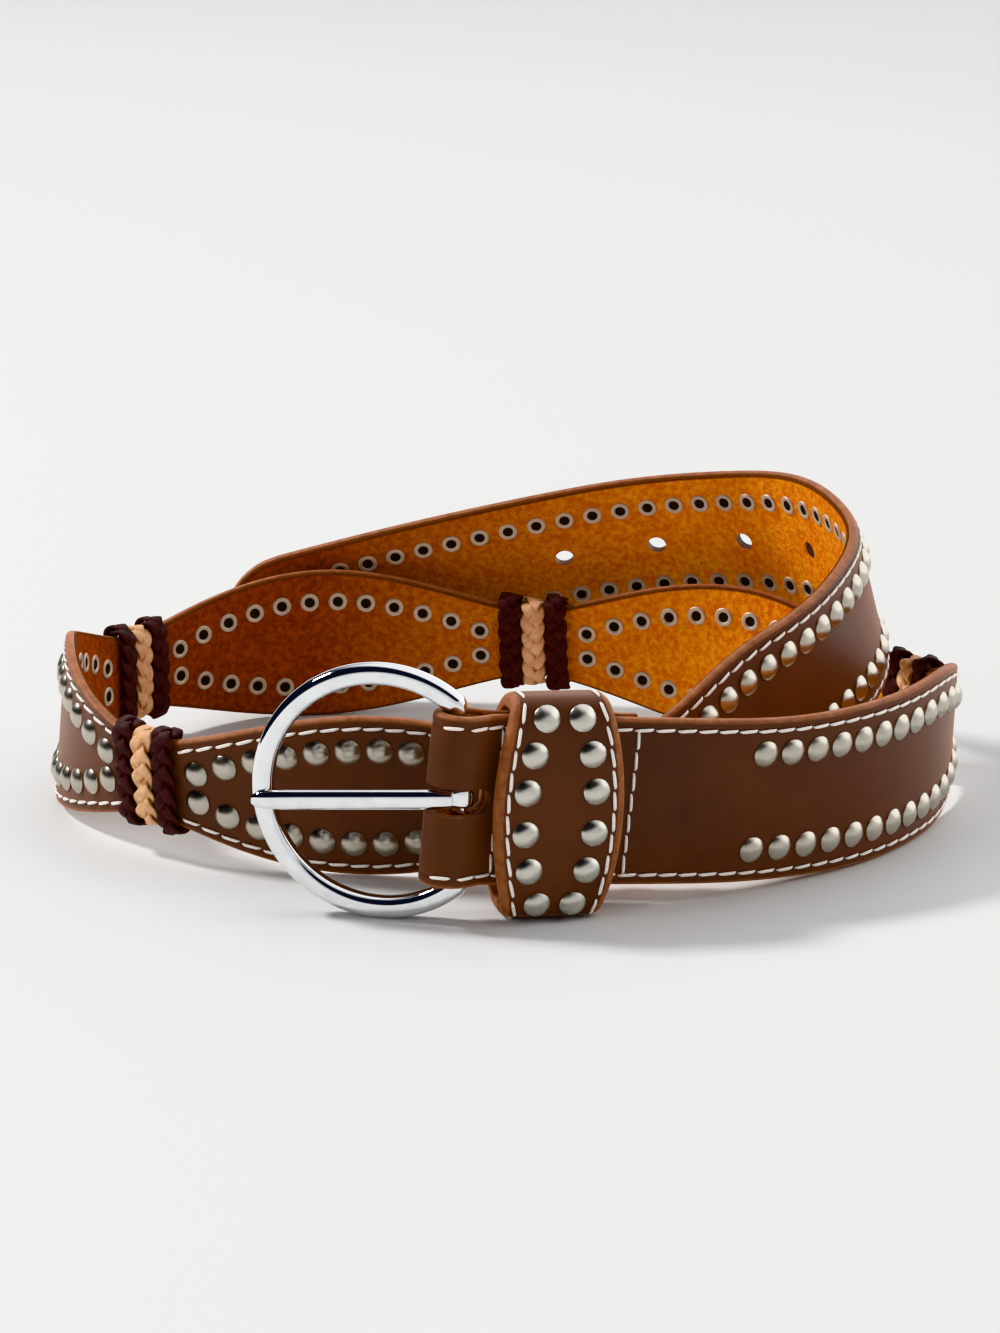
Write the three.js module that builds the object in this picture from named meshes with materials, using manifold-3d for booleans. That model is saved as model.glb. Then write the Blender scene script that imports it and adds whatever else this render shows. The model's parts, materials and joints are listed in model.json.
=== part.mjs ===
// A studded leather belt, unbuckled and coiled once and a half, lying on its edge.
// Millimetres, +Z up. The origin is on the floor, under the middle of the coil, and +X runs
// along the coil's longest side. The outer leather faces out of the coil, the suede faces in.
import * as THREE from "three";
import { mergeVertices } from "three/addons/utils/BufferGeometryUtils.js";
import Module from "manifold-3d";

const wasm = await Module();
wasm.setup();

// Leather
const STRAP_HALF = 20; // half of the straps' 40 mm width
const THICK = 3; // outer leather and suede lining together
const EDGE = 0.9; // bevel that stands for the rounded edge
const GAP = 0.3; // clearance between neighbouring pieces
const STEP = 7.5; // longest step between two sections of leather

// Panels and the wraps that join them
const PANELS = 4;
const FIRST_WRAP = 192; // middle of the first wrap, measured from the buckle bar
const LINK = 111; // from one wrap's middle to the next
const WAIST_HALF = 9.3; // half width of the leather under a wrap
const FULLNESS = 1.35; // how long a panel stays narrow before it swells
const TIP_END = 962; // end of the belt, measured from the buckle bar
const TIP_ROUND = 20; // length over which the tip is rounded

// Braided cords: three side by side make a wrap
const CORD = { wide: 5.7, thick: 2.5, pitch: 6.1, shoulder: 0.7 };
// The corners and the middles of the sides of a cord's way round, as signs of up and out
const CORD_WAY = [[1, 0], [1, 1], [0, 1], [-1, 1], [-1, 0], [-1, -1], [0, -1], [1, -1]];
const WRAP_COLOURS = ["dark", "tan", "dark"];

// Dome studs
const STUD = { pitch: 7.5, radius: 3.2, crown: 0.58, high: 1.6, sunk: 0.4, sides: 7 };
const ROW_HALF = 11.8; // rows on the straps run this far above and below the middle
const ROW_NARROW = 3.6; // the same, for the studs next to a wrap
const FIRST_STUD = 14.25; // from a wrap's middle to the nearest studs
const PANEL_STUDS = 12;
const BUCKLE_STUDS = 15;
const TIP_STUDS = 40;

// Buckle holes in the tip strap
const HOLE = { count: 5, first: 770, pitch: 25, radius: 2.5, sides: 8 };

// Ring, bar and prong
const RING = { radius: 27.5, wire: 2.5, steps: 30, sides: 8 };
const BAR = { from: 17.9, radius: 2.2, behind: 1.65, height: 30 };
const RING_TURN = 12; // the ring swings this far back from the line across the photograph
const PRONG = { wide: 4.4, thick: 2.4, bevel: 0.9, eye: 1.5, taper: 8, droop: 0.062 };

// The strap folds round the bar and is sewn to itself
const FOLD = { shift: -1.2, radius: 4.8, pinch: 8, lap: 1, inside: 0.1, tail: 41, steps: 8 };
const DOUBLED = THICK - 0.4; // from the front layer's middle to the back layer's
const SLOT = { left: -9, right: 6.4, half: 3.3 };

// Loop that holds the belt's tip, a barrel shape
const KEEPER = { at: 22, out: -0.6, high: 26, deep: 8.2, thick: 2.6, square: 4, around: 24 };
const KEEPER_TURN = -2; // degrees that the loop is turned on the strap
const KEEPER_HALF = { end: 11, middle: 15.2 };
const KEEPER_STUDS = [
  { up: 4.9, side: 8.1 },
  { up: 13.6, side: 6.8 },
  { up: 21.8, side: 4.2 },
];

// The belt's middle line, followed from the buckle bar: the distance along it, its direction
// in plan in degrees, the height of the middle, and how far the top leans in over the coil.
const START = { x: -10.2, y: -93.2 };
const ROUTE = [
  { at: 0, heading: 18.5, lift: 29.5, lean: 0 }, // buckle bar
  { at: 45, heading: 18.5, lift: 25, lean: -3 }, // end of the doubled leather
  { at: 80, heading: 32, lift: 21.5, lean: -6 },
  { at: 115, heading: 52, lift: 20.1, lean: -4 }, // right-hand bend, on the floor
  { at: 150, heading: 73, lift: 20.1, lean: -3 },
  { at: 180, heading: 102.5, lift: 18.5, lean: -1 },
  { at: 210, heading: 142, lift: 17.5, lean: 6 }, // past the first wrap
  { at: 245, heading: 150.5, lift: 20, lean: 0 }, // first panel
  { at: 300, heading: 171, lift: 21, lean: 13 }, // second wrap
  { at: 355, heading: 183.5, lift: 20.1, lean: 5 }, // second panel
  { at: 410, heading: 227.5, lift: 18.5, lean: -1 }, // third wrap
  { at: 440, heading: 257.5, lift: 19.5, lean: -2 },
  { at: 475, heading: 278, lift: 21, lean: 5 }, // third panel, left-hand bend
  { at: 520, heading: 317, lift: 20, lean: -6 }, // fourth wrap
  { at: 565, heading: 349.5, lift: 20, lean: -7 }, // fourth panel, behind the ring
  { at: 630, heading: 356.5, lift: 23.5, lean: -5 }, // fifth wrap
  { at: 665, heading: 403.5, lift: 30, lean: 7 },
  { at: 700, heading: 413, lift: 38, lean: 0 }, // the tip strap climbs
  { at: 735, heading: 431.5, lift: 45.5, lean: 8 },
  { at: 765, heading: 460, lift: 50.5, lean: 16 }, // crosses over the first panel
  { at: 795, heading: 478, lift: 51.5, lean: 15 },
  { at: 825, heading: 511, lift: 49, lean: 19 },
  { at: 860, heading: 534.5, lift: 44, lean: 20 }, // runs down behind the panels
  { at: 905, heading: 537, lift: 34.5, lean: 22 },
  { at: 965, heading: 541, lift: 18.5, lean: 18 }, // just past the tip
];

// Colours
const finish = (color, roughness, metalness) =>
  new THREE.MeshStandardMaterial({ color, roughness, metalness });
const LEATHER = finish(0x5a2f1c, 0.5, 0);
const CHROME = finish(0xd8d8da, 0.12, 1);
const CORDS = { dark: finish(0x3a1c1c, 0.75, 0), tan: finish(0xe0a982, 0.7, 0) };

// A smooth curve through one column of the route.
function column(key, s) {
  const slope = (i) => {
    const a = ROUTE[Math.max(i - 1, 0)];
    const b = ROUTE[Math.min(i + 1, ROUTE.length - 1)];
    return (b[key] - a[key]) / (b.at - a.at);
  };
  let i = ROUTE.findIndex((row) => row.at > s) - 1;
  if (i === -1) return ROUTE[0][key] + slope(0) * s;
  if (i === -2) i = ROUTE.length - 2;
  const a = ROUTE[i];
  const b = ROUTE[i + 1];
  const h = b.at - a.at;
  const u = (s - a.at) / h;
  if (u > 1) return b[key] + slope(i + 1) * (s - b.at);
  return (
    (2 * u ** 3 - 3 * u ** 2 + 1) * a[key] +
    (u ** 3 - 2 * u ** 2 + u) * h * slope(i) +
    (3 * u ** 2 - 2 * u ** 3) * b[key] +
    (u ** 3 - u ** 2) * h * slope(i + 1)
  );
}

// The belt's own axes at a distance: forward along it, up its width, out through its face.
function axes(s) {
  const rise = (column("lift", s + 1) - column("lift", s - 1)) / 2;
  const flat = Math.sqrt(1 - rise * rise);
  const heading = THREE.MathUtils.degToRad(column("heading", s));
  const lean = THREE.MathUtils.degToRad(column("lean", s));
  const forward = new THREE.Vector3(Math.cos(heading) * flat, Math.sin(heading) * flat, rise);
  const side = new THREE.Vector3(Math.sin(heading), -Math.cos(heading), 0);
  const plumb = new THREE.Vector3().crossVectors(side, forward);
  const up = plumb.multiplyScalar(Math.cos(lean)).addScaledVector(side, -Math.sin(lean));
  return { forward, up, out: new THREE.Vector3().crossVectors(forward, up) };
}

// The middle line in steps of 1 mm, added up from its direction.
const BEFORE = 12;
const middle = [];
for (let s = -BEFORE, x = 0, y = 0; s <= TIP_END + BEFORE; s += 1) {
  middle.push(new THREE.Vector3(x, y, column("lift", s)));
  const { forward } = axes(s + 0.5);
  x += forward.x;
  y += forward.y;
}
const shift = new THREE.Vector3(START.x - middle[BEFORE].x, START.y - middle[BEFORE].y, 0);
middle.forEach((point) => point.add(shift));

// A point of the belt: its distance along, its height on the width, its depth through the face.
function place(s, up, out) {
  const i = Math.floor(s) + BEFORE;
  const point = middle[i].clone().lerp(middle[i + 1], s - Math.floor(s));
  const frame = axes(s);
  return point.addScaledVector(frame.up, up).addScaledVector(frame.out, out);
}

// Half the belt's width at a distance from the bar.
function halfAt(s) {
  const last = FIRST_WRAP + PANELS * LINK;
  let from = ((s - FIRST_WRAP) % LINK + LINK) % LINK;
  if (s < FIRST_WRAP - LINK / 2 || s > last + LINK / 2) from = LINK / 2;
  const swell = Math.max(Math.sin((Math.PI * from) / LINK), 0) ** FULLNESS;
  const half = WAIST_HALF + (STRAP_HALF - WAIST_HALF) * swell;
  const u = Math.max((s - TIP_END + TIP_ROUND) / TIP_ROUND, 0);
  return half * Math.sqrt(Math.max(1 - u ** 2, 0.01));
}

// Height of a stud row that runs together towards the wraps; k counts from a panel's first stud.
function rowAt(k) {
  const swell = Math.sin((Math.PI * Math.min(Math.max(k, 0), 11)) / 11) ** 0.9;
  return ROW_NARROW + (ROW_HALF - ROW_NARROW) * swell;
}

// A closed surface through equal rings of points: capped at both ends, or joined up on itself.
function loft(rings, joined = false) {
  const n = rings[0].length;
  const index = [];
  const spans = joined ? rings.length : rings.length - 1;
  for (let i = 0; i < spans; i++) {
    const a = i * n;
    const b = ((i + 1) % rings.length) * n;
    for (let j = 0; j < n; j++) {
      const k = (j + 1) % n;
      index.push(a + j, b + j, b + k, a + j, b + k, a + k);
    }
  }
  if (!joined) return capped(rings.flat(), index, n, rings.length);
  return new THREE.BufferGeometry().setFromPoints(rings.flat()).setIndex(index);
}

// A solid from a closed surface, turned so that its faces point out.
function solid(geometry) {
  const merged = mergeVertices(geometry, 1e-4);
  const triVerts = new Uint32Array(merged.index.array);
  const vertProperties = merged.attributes.position.array;
  const made = () => new wasm.Manifold(new wasm.Mesh({ numProp: 3, vertProperties, triVerts }));
  const first = made();
  if (first.volume() > 0) return first;
  for (let i = 0; i < triVerts.length; i += 3) {
    [triVerts[i + 1], triVerts[i + 2]] = [triVerts[i + 2], triVerts[i + 1]];
  }
  return made();
}

const unite = (solids) => solids.reduce((all, next) => all.add(next));

function mesh(name, body, material) {
  const { vertProperties, triVerts } = body.getMesh();
  const geometry = new THREE.BufferGeometry();
  geometry.setAttribute("position", new THREE.BufferAttribute(vertProperties, 3));
  geometry.setIndex(new THREE.BufferAttribute(triVerts, 1));
  geometry.computeVertexNormals();
  const made = new THREE.Mesh(geometry, material);
  made.name = name;
  return made;
}

// A leather section whose edges are bevelled from both faces, as pairs of up and out.
function section(half, thick = THICK) {
  const t = thick / 2;
  const flat = half - Math.min(EDGE, half / 3);
  return [[half, 0], [flat, t], [-flat, t], [-half, 0], [-flat, -t], [flat, -t]];
}

// Even stations from one distance to another.
function stations(from, to, step = STEP) {
  const n = Math.max(Math.ceil((to - from) / step), 1);
  return Array.from({ length: n + 1 }, (_, i) => from + ((to - from) * i) / n);
}

// Leather from one distance to another with pairs of studs. The stations fall midway between
// the studs, and rowAtStud gives the height of each pair.
function studded(from, to, firstStud, studs, rowAtStud, after = []) {
  const own = Array.from({ length: studs + 1 }, (_, k) => firstStud + (k - 0.5) * STUD.pitch);
  const lead = stations(from, own[0]).slice(0, -1);
  const list = [...lead, ...own, ...stations(own[studs], to).slice(1), ...after];
  return band(list, 0, (i) => {
    const k = i - lead.length;
    return k >= 0 && k < studs ? rowAtStud(k) : null;
  });
}

// The outline of a stud, clockwise as seen from outside.
function studRing(radius) {
  return Array.from({ length: STUD.sides }, (_, i) => {
    const a = (-2 * Math.PI * (i + 0.5)) / STUD.sides;
    return new THREE.Vector2(radius * Math.cos(a), radius * Math.sin(a));
  });
}

// A length of leather through its stations. Studs stand in the outer face, a pair in each span
// that rowOf gives a height for.
function band(list, offset = 0, rowOf = () => null) {
  const sections = list.map((s) => section(halfAt(s)));
  const rings = sections.map((ring, i) =>
    ring.map(([up, out]) => place(list[i], up, out + offset)),
  );
  const n = sections[0].length;
  const points = rings.flat();
  const index = [];
  for (let i = 0; i < rings.length - 1; i++) {
    const row = rowOf(i);
    const a = i * n;
    const b = a + n;
    for (let j = 0; j < n; j++) {
      const k = (j + 1) % n;
      if (j === 1 && row !== null) continue;
      index.push(a + j, b + j, b + k, a + j, b + k, a + k);
    }
    if (row === null) continue;
    // The face between the sections, with an opening for each stud
    const corner = (ring, j) => new THREE.Vector2(list[ring], sections[ring][j][0]);
    const contour = [corner(i, 1), corner(i + 1, 1), corner(i + 1, 2), corner(i, 2)];
    const centres = [row, -row].map((up) => ({ x: (list[i] + list[i + 1]) / 2, y: up }));
    const around = (centre, radius) => studRing(radius).map((v) => v.add(centre));
    const feet = centres.map((centre) => around(centre, STUD.radius));
    const known = [a + 1, b + 1, b + 2, a + 2];
    const face = THICK / 2 + offset;
    for (const centre of centres) {
      const base = points.length;
      const crown = around(centre, STUD.radius * STUD.crown);
      points.push(...around(centre, STUD.radius).map((v) => place(v.x, v.y, face)));
      points.push(...crown.map((v) => place(v.x, v.y, face + STUD.high)));
      for (let j = 0; j < STUD.sides; j++) {
        const k = (j + 1) % STUD.sides;
        const top = base + STUD.sides;
        index.push(base + j, base + k, top + k, base + j, top + k, top + j);
        if (j > 0 && k > 0) index.push(top, top + j, top + k);
        known.push(base + j);
      }
    }
    const flat = [...contour, ...feet.flat()];
    for (const [p, q, r] of THREE.ShapeUtils.triangulateShape(contour, feet)) {
      const turned = flat[q].clone().sub(flat[p]).cross(flat[r].clone().sub(flat[p])) > 0;
      index.push(known[p], known[turned ? r : q], known[turned ? q : r]);
    }
  }
  return solid(capped(points, index, n, rings.length));
}

// A surface from its points and triangles, with a cap on its first and last section.
function capped(points, index, n, sections) {
  const end = (sections - 1) * n;
  for (let j = 1; j < n - 1; j++) index.push(0, j, j + 1, end, end + j + 1, end + j);
  const geometry = new THREE.BufferGeometry().setFromPoints(points);
  geometry.setIndex(index);
  return geometry;
}

// One dome stud with its foot sunk in. spot(up, along, out) gives its points.
function dome(spot) {
  const ring = (radius, out) => studRing(radius).map((v) => spot(v.y, v.x, out));
  return solid(loft([ring(STUD.radius, -STUD.sunk), ring(STUD.radius * STUD.crown, STUD.high)]));
}

// Three cords around the narrow leather at one wrap, each a closed loop of its own.
function wrap(number) {
  const at = FIRST_WRAP + (number - 1) * LINK;
  const w = CORD.wide / 2;
  return WRAP_COLOURS.map((colour, i) => {
    const s = at + (i - 1) * CORD.pitch;
    const half = Math.max(halfAt(s - w), halfAt(s + w)) + GAP;
    const side = THICK / 2 + GAP;
    const rings = CORD_WAY.map(([up, out]) => {
      const round = up && out ? Math.SQRT1_2 : 1;
      const point = (along, deep) =>
        place(s + along, up * (half + deep * round), out * (side + deep * round));
      const shoulder = CORD.thick * CORD.shoulder;
      const outer = [point(-w, shoulder), point(0, CORD.thick), point(w, shoulder)];
      return [point(-w, 0), ...outer, point(w, 0)];
    });
    return mesh(`wrap_${number}_cord_${i + 1}`, solid(loft(rings, true)), CORDS[colour]);
  });
}

// The line of the folded leather's middle in plan: round the bar and back to the pinch.
function foldLine() {
  const ease = (s) => (1 + Math.cos((Math.PI * (s - FOLD.shift)) / (FOLD.pinch - FOLD.shift))) / 2;
  const front = FOLD.radius - BAR.behind;
  const back = -BAR.behind - FOLD.radius;
  const points = [];
  for (const s of stations(FOLD.shift, FOLD.pinch, 2.4).reverse()) {
    points.push({ s, out: front * ease(s) });
  }
  for (let i = 1; i < FOLD.steps; i++) {
    const a = Math.PI / 2 + (Math.PI * i) / FOLD.steps;
    const s = FOLD.shift + FOLD.radius * Math.cos(a);
    points.push({ s, out: -BAR.behind + FOLD.radius * Math.sin(a) });
  }
  for (const s of stations(FOLD.shift, FOLD.pinch, 2.4)) {
    points.push({ s, out: -DOUBLED + (back + DOUBLED) * ease(s) });
  }
  return points;
}

function buckleStrap(ring) {
  const line = foldLine();
  const rings = line.map((point, i) => {
    const a = line[Math.max(i - 1, 0)];
    const b = line[Math.min(i + 1, line.length - 1)];
    const long = Math.hypot(b.s - a.s, b.out - a.out);
    const first = i === 0 || i === line.length - 1;
    const across = first
      ? { s: 0, out: i === 0 ? 1 : -1 }
      : { s: (b.out - a.out) / long, out: -(b.s - a.s) / long };
    const inside = first ? FOLD.inside : 0;
    return section(STRAP_HALF - inside, THICK - 2 * inside).map(([up, out]) =>
      place(point.s + across.s * out, up, point.out + across.out * out),
    );
  });
  const half = Math.floor(rings.length / 2);
  const fold = unite([solid(loft(rings.slice(0, half + 1))), solid(loft(rings.slice(half)))]);
  const last = FIRST_WRAP - FIRST_STUD;
  const first = last - (BUCKLE_STUDS - 1) * STUD.pitch;
  const lap = FOLD.pinch - FOLD.lap;
  const front = studded(lap, FIRST_WRAP - GAP / 2, first, BUCKLE_STUDS, (k) => {
    const fromEnd = BUCKLE_STUDS - 1 - k;
    return fromEnd > 5.5 ? ROW_HALF : rowAt(fromEnd);
  });
  const tail = band(stations(lap, FOLD.tail), -DOUBLED);
  const slot = solid(
    loft(
      [-BAR.behind - 8, -BAR.behind + 8].map((out) =>
        [[SLOT.left, -1], [SLOT.right, -1], [SLOT.right, 1], [SLOT.left, 1]].map(([s, sign]) =>
          place(s, sign * SLOT.half, out),
        ),
      ),
    ),
  );
  return unite([front, fold, tail]).subtract(slot).subtract(ring);
}

function panel(number) {
  const from = FIRST_WRAP + (number - 1) * LINK;
  const ends = [from + GAP / 2, from + LINK - GAP / 2];
  return studded(...ends, from + FIRST_STUD, PANEL_STUDS, rowAt);
}

function tipStrap() {
  const from = FIRST_WRAP + PANELS * LINK;
  const rounded = stations(TIP_END - TIP_ROUND, TIP_END - 0.4, 2.2).slice(1);
  const ends = [from + GAP / 2, TIP_END - TIP_ROUND];
  const rows = (k) => (k > 5.5 ? ROW_HALF : rowAt(k));
  const leather = studded(...ends, from + FIRST_STUD, TIP_STUDS, rows, rounded);
  const holes = Array.from({ length: HOLE.count }, (_, i) => {
    const s = HOLE.first + i * HOLE.pitch;
    const circle = (out) =>
      Array.from({ length: HOLE.sides }, (_, j) => {
        const a = (2 * Math.PI * j) / HOLE.sides;
        return place(s + HOLE.radius * Math.cos(a), HOLE.radius * Math.sin(a), out);
      });
    return solid(loft([circle(-THICK), circle(THICK)]));
  });
  return leather.subtract(unite(holes));
}

// The loop stands upright on the floor around the doubled leather.
const loopForward = axes(KEEPER.at)
  .forward.setZ(0)
  .normalize()
  .applyAxisAngle(new THREE.Vector3(0, 0, 1), THREE.MathUtils.degToRad(KEEPER_TURN));
const loopOut = new THREE.Vector3(loopForward.y, -loopForward.x, 0);
const loopMiddle = place(KEEPER.at, 0, KEEPER.out).setZ(KEEPER.high);
function loopPlace(along, up, out) {
  return loopMiddle
    .clone()
    .addScaledVector(loopForward, along)
    .addScaledVector(loopOut, out)
    .add(new THREE.Vector3(0, 0, up));
}

// A point on the loop's outline at an angle, with depth taken off. Its flats, one of them the
// foot that it stands on, lie midway between two of the points and keep its full size.
function loopOutline(angle, depth) {
  const p = 2 / KEEPER.square;
  const flat = Math.cos(Math.PI / KEEPER.around) ** p;
  const power = (v) => (Math.sign(v) * Math.abs(v) ** p) / flat;
  return {
    up: (KEEPER.high - depth) * power(Math.sin(angle)),
    out: (KEEPER.deep - depth) * power(Math.cos(angle)),
  };
}

function keeperHalf(up) {
  return KEEPER_HALF.middle - (KEEPER_HALF.middle - KEEPER_HALF.end) * (up / KEEPER.high) ** 2;
}

// How far the loop's outer face stands out at a height, and the angle it turns away by.
function keeperFace(height) {
  const n = KEEPER.square;
  const part = Math.abs(height) / KEEPER.high;
  const face = KEEPER.deep * (1 - part ** n) ** (1 / n);
  const slope = (KEEPER.deep / KEEPER.high) * part ** (n - 1) * (KEEPER.deep / face) ** (n - 1);
  return { face, tilt: Math.atan(slope) * Math.sign(height) };
}

function keeper() {
  const rings = Array.from({ length: KEEPER.around }, (_, i) => {
    const angle = (2 * Math.PI * (i + 0.5)) / KEEPER.around;
    const outer = loopOutline(angle, 0);
    const inner = loopOutline(angle, KEEPER.thick);
    const w = keeperHalf(outer.up);
    return [[-w, inner], [-w, outer], [w, outer], [w, inner]].map(([along, { up, out }]) =>
      loopPlace(along, up, out),
    );
  });
  const studs = KEEPER_STUDS.flatMap(({ up, side }) =>
    [up, -up].flatMap((height) =>
      [side, -side].map((along) => {
        const { face, tilt } = keeperFace(height);
        return dome((a, b, out) =>
          loopPlace(
            along + b,
            height + a * Math.cos(tilt) + out * Math.sin(tilt),
            face + out * Math.cos(tilt) - a * Math.sin(tilt),
          ),
        );
      }),
    ),
  );
  return unite([solid(loft(rings, true)), ...studs]);
}

// The buckle's own axes: toward the ring's middle, up the bar, and forward out of the ring.
const barMiddle = place(0, 0, -BAR.behind).setZ(BAR.height);
const turn = THREE.MathUtils.degToRad(RING_TURN);
const ringWay = new THREE.Vector3(-Math.cos(turn), Math.sin(turn), 0);
const ringFront = new THREE.Vector3(-Math.sin(turn), -Math.cos(turn), 0);
function bucklePlace(along, up, out) {
  return barMiddle
    .clone()
    .addScaledVector(ringWay, along)
    .addScaledVector(ringFront, out)
    .add(new THREE.Vector3(0, 0, up));
}

// The round ring with its straight bar, one closed rod; extra makes it fatter.
function buckleRing(extra = 0) {
  const open = Math.acos(BAR.from / RING.radius);
  const chord = Math.sqrt(RING.radius ** 2 - BAR.from ** 2);
  const arc = Array.from({ length: RING.steps + 1 }, (_, i) => {
    const a = open + ((2 * Math.PI - 2 * open) * i) / RING.steps;
    const corner = i === 0 || i === RING.steps;
    const lean = corner ? (Math.sign(Math.PI - a) * open) / 2 : 0;
    return {
      along: BAR.from - RING.radius * Math.cos(a),
      up: RING.radius * Math.sin(a),
      face: a - lean,
      radius: corner ? (RING.wire + BAR.radius) / 2 : RING.wire,
    };
  });
  const bar = [-0.8, -0.3, 0.3, 0.8].map((k) => ({
    along: 0,
    up: k * chord,
    face: 0,
    radius: BAR.radius,
  }));
  const rings = [...arc, ...bar].map(({ along, up, face, radius }) =>
    Array.from({ length: RING.sides }, (_, j) => {
      const b = (2 * Math.PI * (j + 0.5)) / RING.sides;
      const r = (radius + extra) * Math.cos(b);
      return bucklePlace(
        along - r * Math.cos(face),
        up + r * Math.sin(face),
        (radius + extra) * Math.sin(b),
      );
    }),
  );
  return solid(loft(rings, true));
}

// The prong: an eye round the bar and a flat bevelled shank that rests on the ring and hangs
// a little below the level.
function buckleProng() {
  const inner = BAR.radius + GAP;
  const outer = inner + PRONG.eye;
  const h = PRONG.wide / 2;
  const eye = Array.from({ length: 12 }, (_, i) => {
    const a = (2 * Math.PI * i) / 12;
    const at = (r, up) => bucklePlace(r * Math.cos(a), up, r * Math.sin(a));
    return [at(inner, -h), at(outer, -h), at(outer, h), at(inner, h)];
  });
  const back = RING.wire + GAP;
  const front = back + PRONG.thick;
  const end = BAR.from + RING.radius + RING.wire - 0.6;
  const shank = [0.4, 4, end - PRONG.taper, end].map((along, i) => {
    const half = i === 3 ? h * 0.75 : h;
    const face = i === 3 ? front - 0.7 : front;
    return [
      [-half, back], [-half, face - PRONG.bevel], [PRONG.bevel - half, face],
      [half - PRONG.bevel, face], [half, face - PRONG.bevel], [half, back],
    ].map(([up, out]) => bucklePlace(along, up - PRONG.droop * along, out));
  });
  return unite([solid(loft(eye, true)), solid(loft(shank))]);
}

const belt = new THREE.Group();
belt.add(mesh("buckle_ring", buckleRing(), CHROME));
belt.add(mesh("buckle_prong", buckleProng(), CHROME));
belt.add(mesh("keeper_loop", keeper(), LEATHER));
belt.add(mesh("buckle_strap", buckleStrap(buckleRing(GAP)), LEATHER));
for (let number = 1; number <= PANELS; number++) {
  belt.add(mesh(`panel_${number}`, panel(number), LEATHER));
}
belt.add(mesh("tip_strap", tipStrap(), LEATHER));
for (let number = 1; number <= PANELS + 1; number++) belt.add(...wrap(number));

export default belt;
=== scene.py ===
"""A studded leather belt, unbuckled and coiled on its edge on a pale floor.

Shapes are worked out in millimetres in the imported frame, with +Z up and the floor at zero, and
become metres when a mesh is made. Distances along the belt are counted from the buckle bar.
"""

from __future__ import annotations

import json
import logging
import math
from dataclasses import dataclass, field
from enum import Enum
from pathlib import Path

import bpy
import numpy as np
from mathutils import Vector
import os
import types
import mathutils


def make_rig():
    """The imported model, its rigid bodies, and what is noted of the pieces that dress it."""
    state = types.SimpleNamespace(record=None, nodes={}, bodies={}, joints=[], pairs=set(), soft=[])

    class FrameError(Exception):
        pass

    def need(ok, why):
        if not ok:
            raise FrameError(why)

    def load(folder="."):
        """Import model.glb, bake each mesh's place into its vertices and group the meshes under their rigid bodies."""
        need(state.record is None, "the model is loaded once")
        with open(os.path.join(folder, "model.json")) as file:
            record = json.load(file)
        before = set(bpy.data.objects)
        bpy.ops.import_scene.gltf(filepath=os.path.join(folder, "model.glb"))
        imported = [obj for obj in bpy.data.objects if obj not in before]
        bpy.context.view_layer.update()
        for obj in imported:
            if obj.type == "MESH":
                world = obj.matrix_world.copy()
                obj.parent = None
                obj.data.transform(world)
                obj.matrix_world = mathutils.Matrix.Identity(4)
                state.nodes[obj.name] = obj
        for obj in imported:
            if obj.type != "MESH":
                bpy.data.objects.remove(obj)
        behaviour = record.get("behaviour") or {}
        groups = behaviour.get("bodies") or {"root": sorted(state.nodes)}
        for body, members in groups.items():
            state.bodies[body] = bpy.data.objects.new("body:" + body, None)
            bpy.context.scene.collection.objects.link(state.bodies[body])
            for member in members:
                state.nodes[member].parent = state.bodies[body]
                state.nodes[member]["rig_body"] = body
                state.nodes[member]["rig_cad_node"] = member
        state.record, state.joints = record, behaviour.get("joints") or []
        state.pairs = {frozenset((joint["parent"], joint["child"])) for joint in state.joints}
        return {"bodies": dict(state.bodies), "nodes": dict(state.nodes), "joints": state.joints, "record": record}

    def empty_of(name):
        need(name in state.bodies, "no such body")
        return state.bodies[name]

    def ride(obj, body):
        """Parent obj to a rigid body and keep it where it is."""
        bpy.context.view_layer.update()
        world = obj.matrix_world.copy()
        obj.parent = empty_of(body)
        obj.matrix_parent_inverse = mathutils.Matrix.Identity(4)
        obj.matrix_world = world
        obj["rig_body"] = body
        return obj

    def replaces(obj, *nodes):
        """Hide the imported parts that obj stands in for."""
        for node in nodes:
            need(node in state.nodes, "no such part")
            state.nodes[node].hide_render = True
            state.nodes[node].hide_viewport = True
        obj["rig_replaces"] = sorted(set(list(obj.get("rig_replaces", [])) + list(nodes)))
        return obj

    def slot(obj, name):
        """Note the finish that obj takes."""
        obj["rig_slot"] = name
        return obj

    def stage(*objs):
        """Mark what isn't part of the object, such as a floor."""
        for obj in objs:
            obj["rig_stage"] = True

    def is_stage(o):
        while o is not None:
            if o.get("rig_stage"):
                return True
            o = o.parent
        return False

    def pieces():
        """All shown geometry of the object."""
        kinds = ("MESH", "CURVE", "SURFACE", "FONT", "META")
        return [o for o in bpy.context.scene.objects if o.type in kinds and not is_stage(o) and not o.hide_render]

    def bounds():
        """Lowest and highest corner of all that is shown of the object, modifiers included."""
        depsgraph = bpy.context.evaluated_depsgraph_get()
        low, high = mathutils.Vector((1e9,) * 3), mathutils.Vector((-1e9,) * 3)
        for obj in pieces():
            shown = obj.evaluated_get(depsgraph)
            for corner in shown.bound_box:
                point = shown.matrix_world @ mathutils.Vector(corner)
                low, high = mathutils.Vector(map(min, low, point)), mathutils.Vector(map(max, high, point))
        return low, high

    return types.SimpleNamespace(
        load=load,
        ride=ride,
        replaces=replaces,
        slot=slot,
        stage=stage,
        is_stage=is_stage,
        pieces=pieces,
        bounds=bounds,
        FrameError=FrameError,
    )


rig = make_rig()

LOG = logging.getLogger("belt")
MM = 0.001
SIZE_FILE = Path("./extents.json")
Array = np.ndarray


class Body(Enum):
    """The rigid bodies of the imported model."""

    STRAP = "strap"
    PRONG = "prong"


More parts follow.
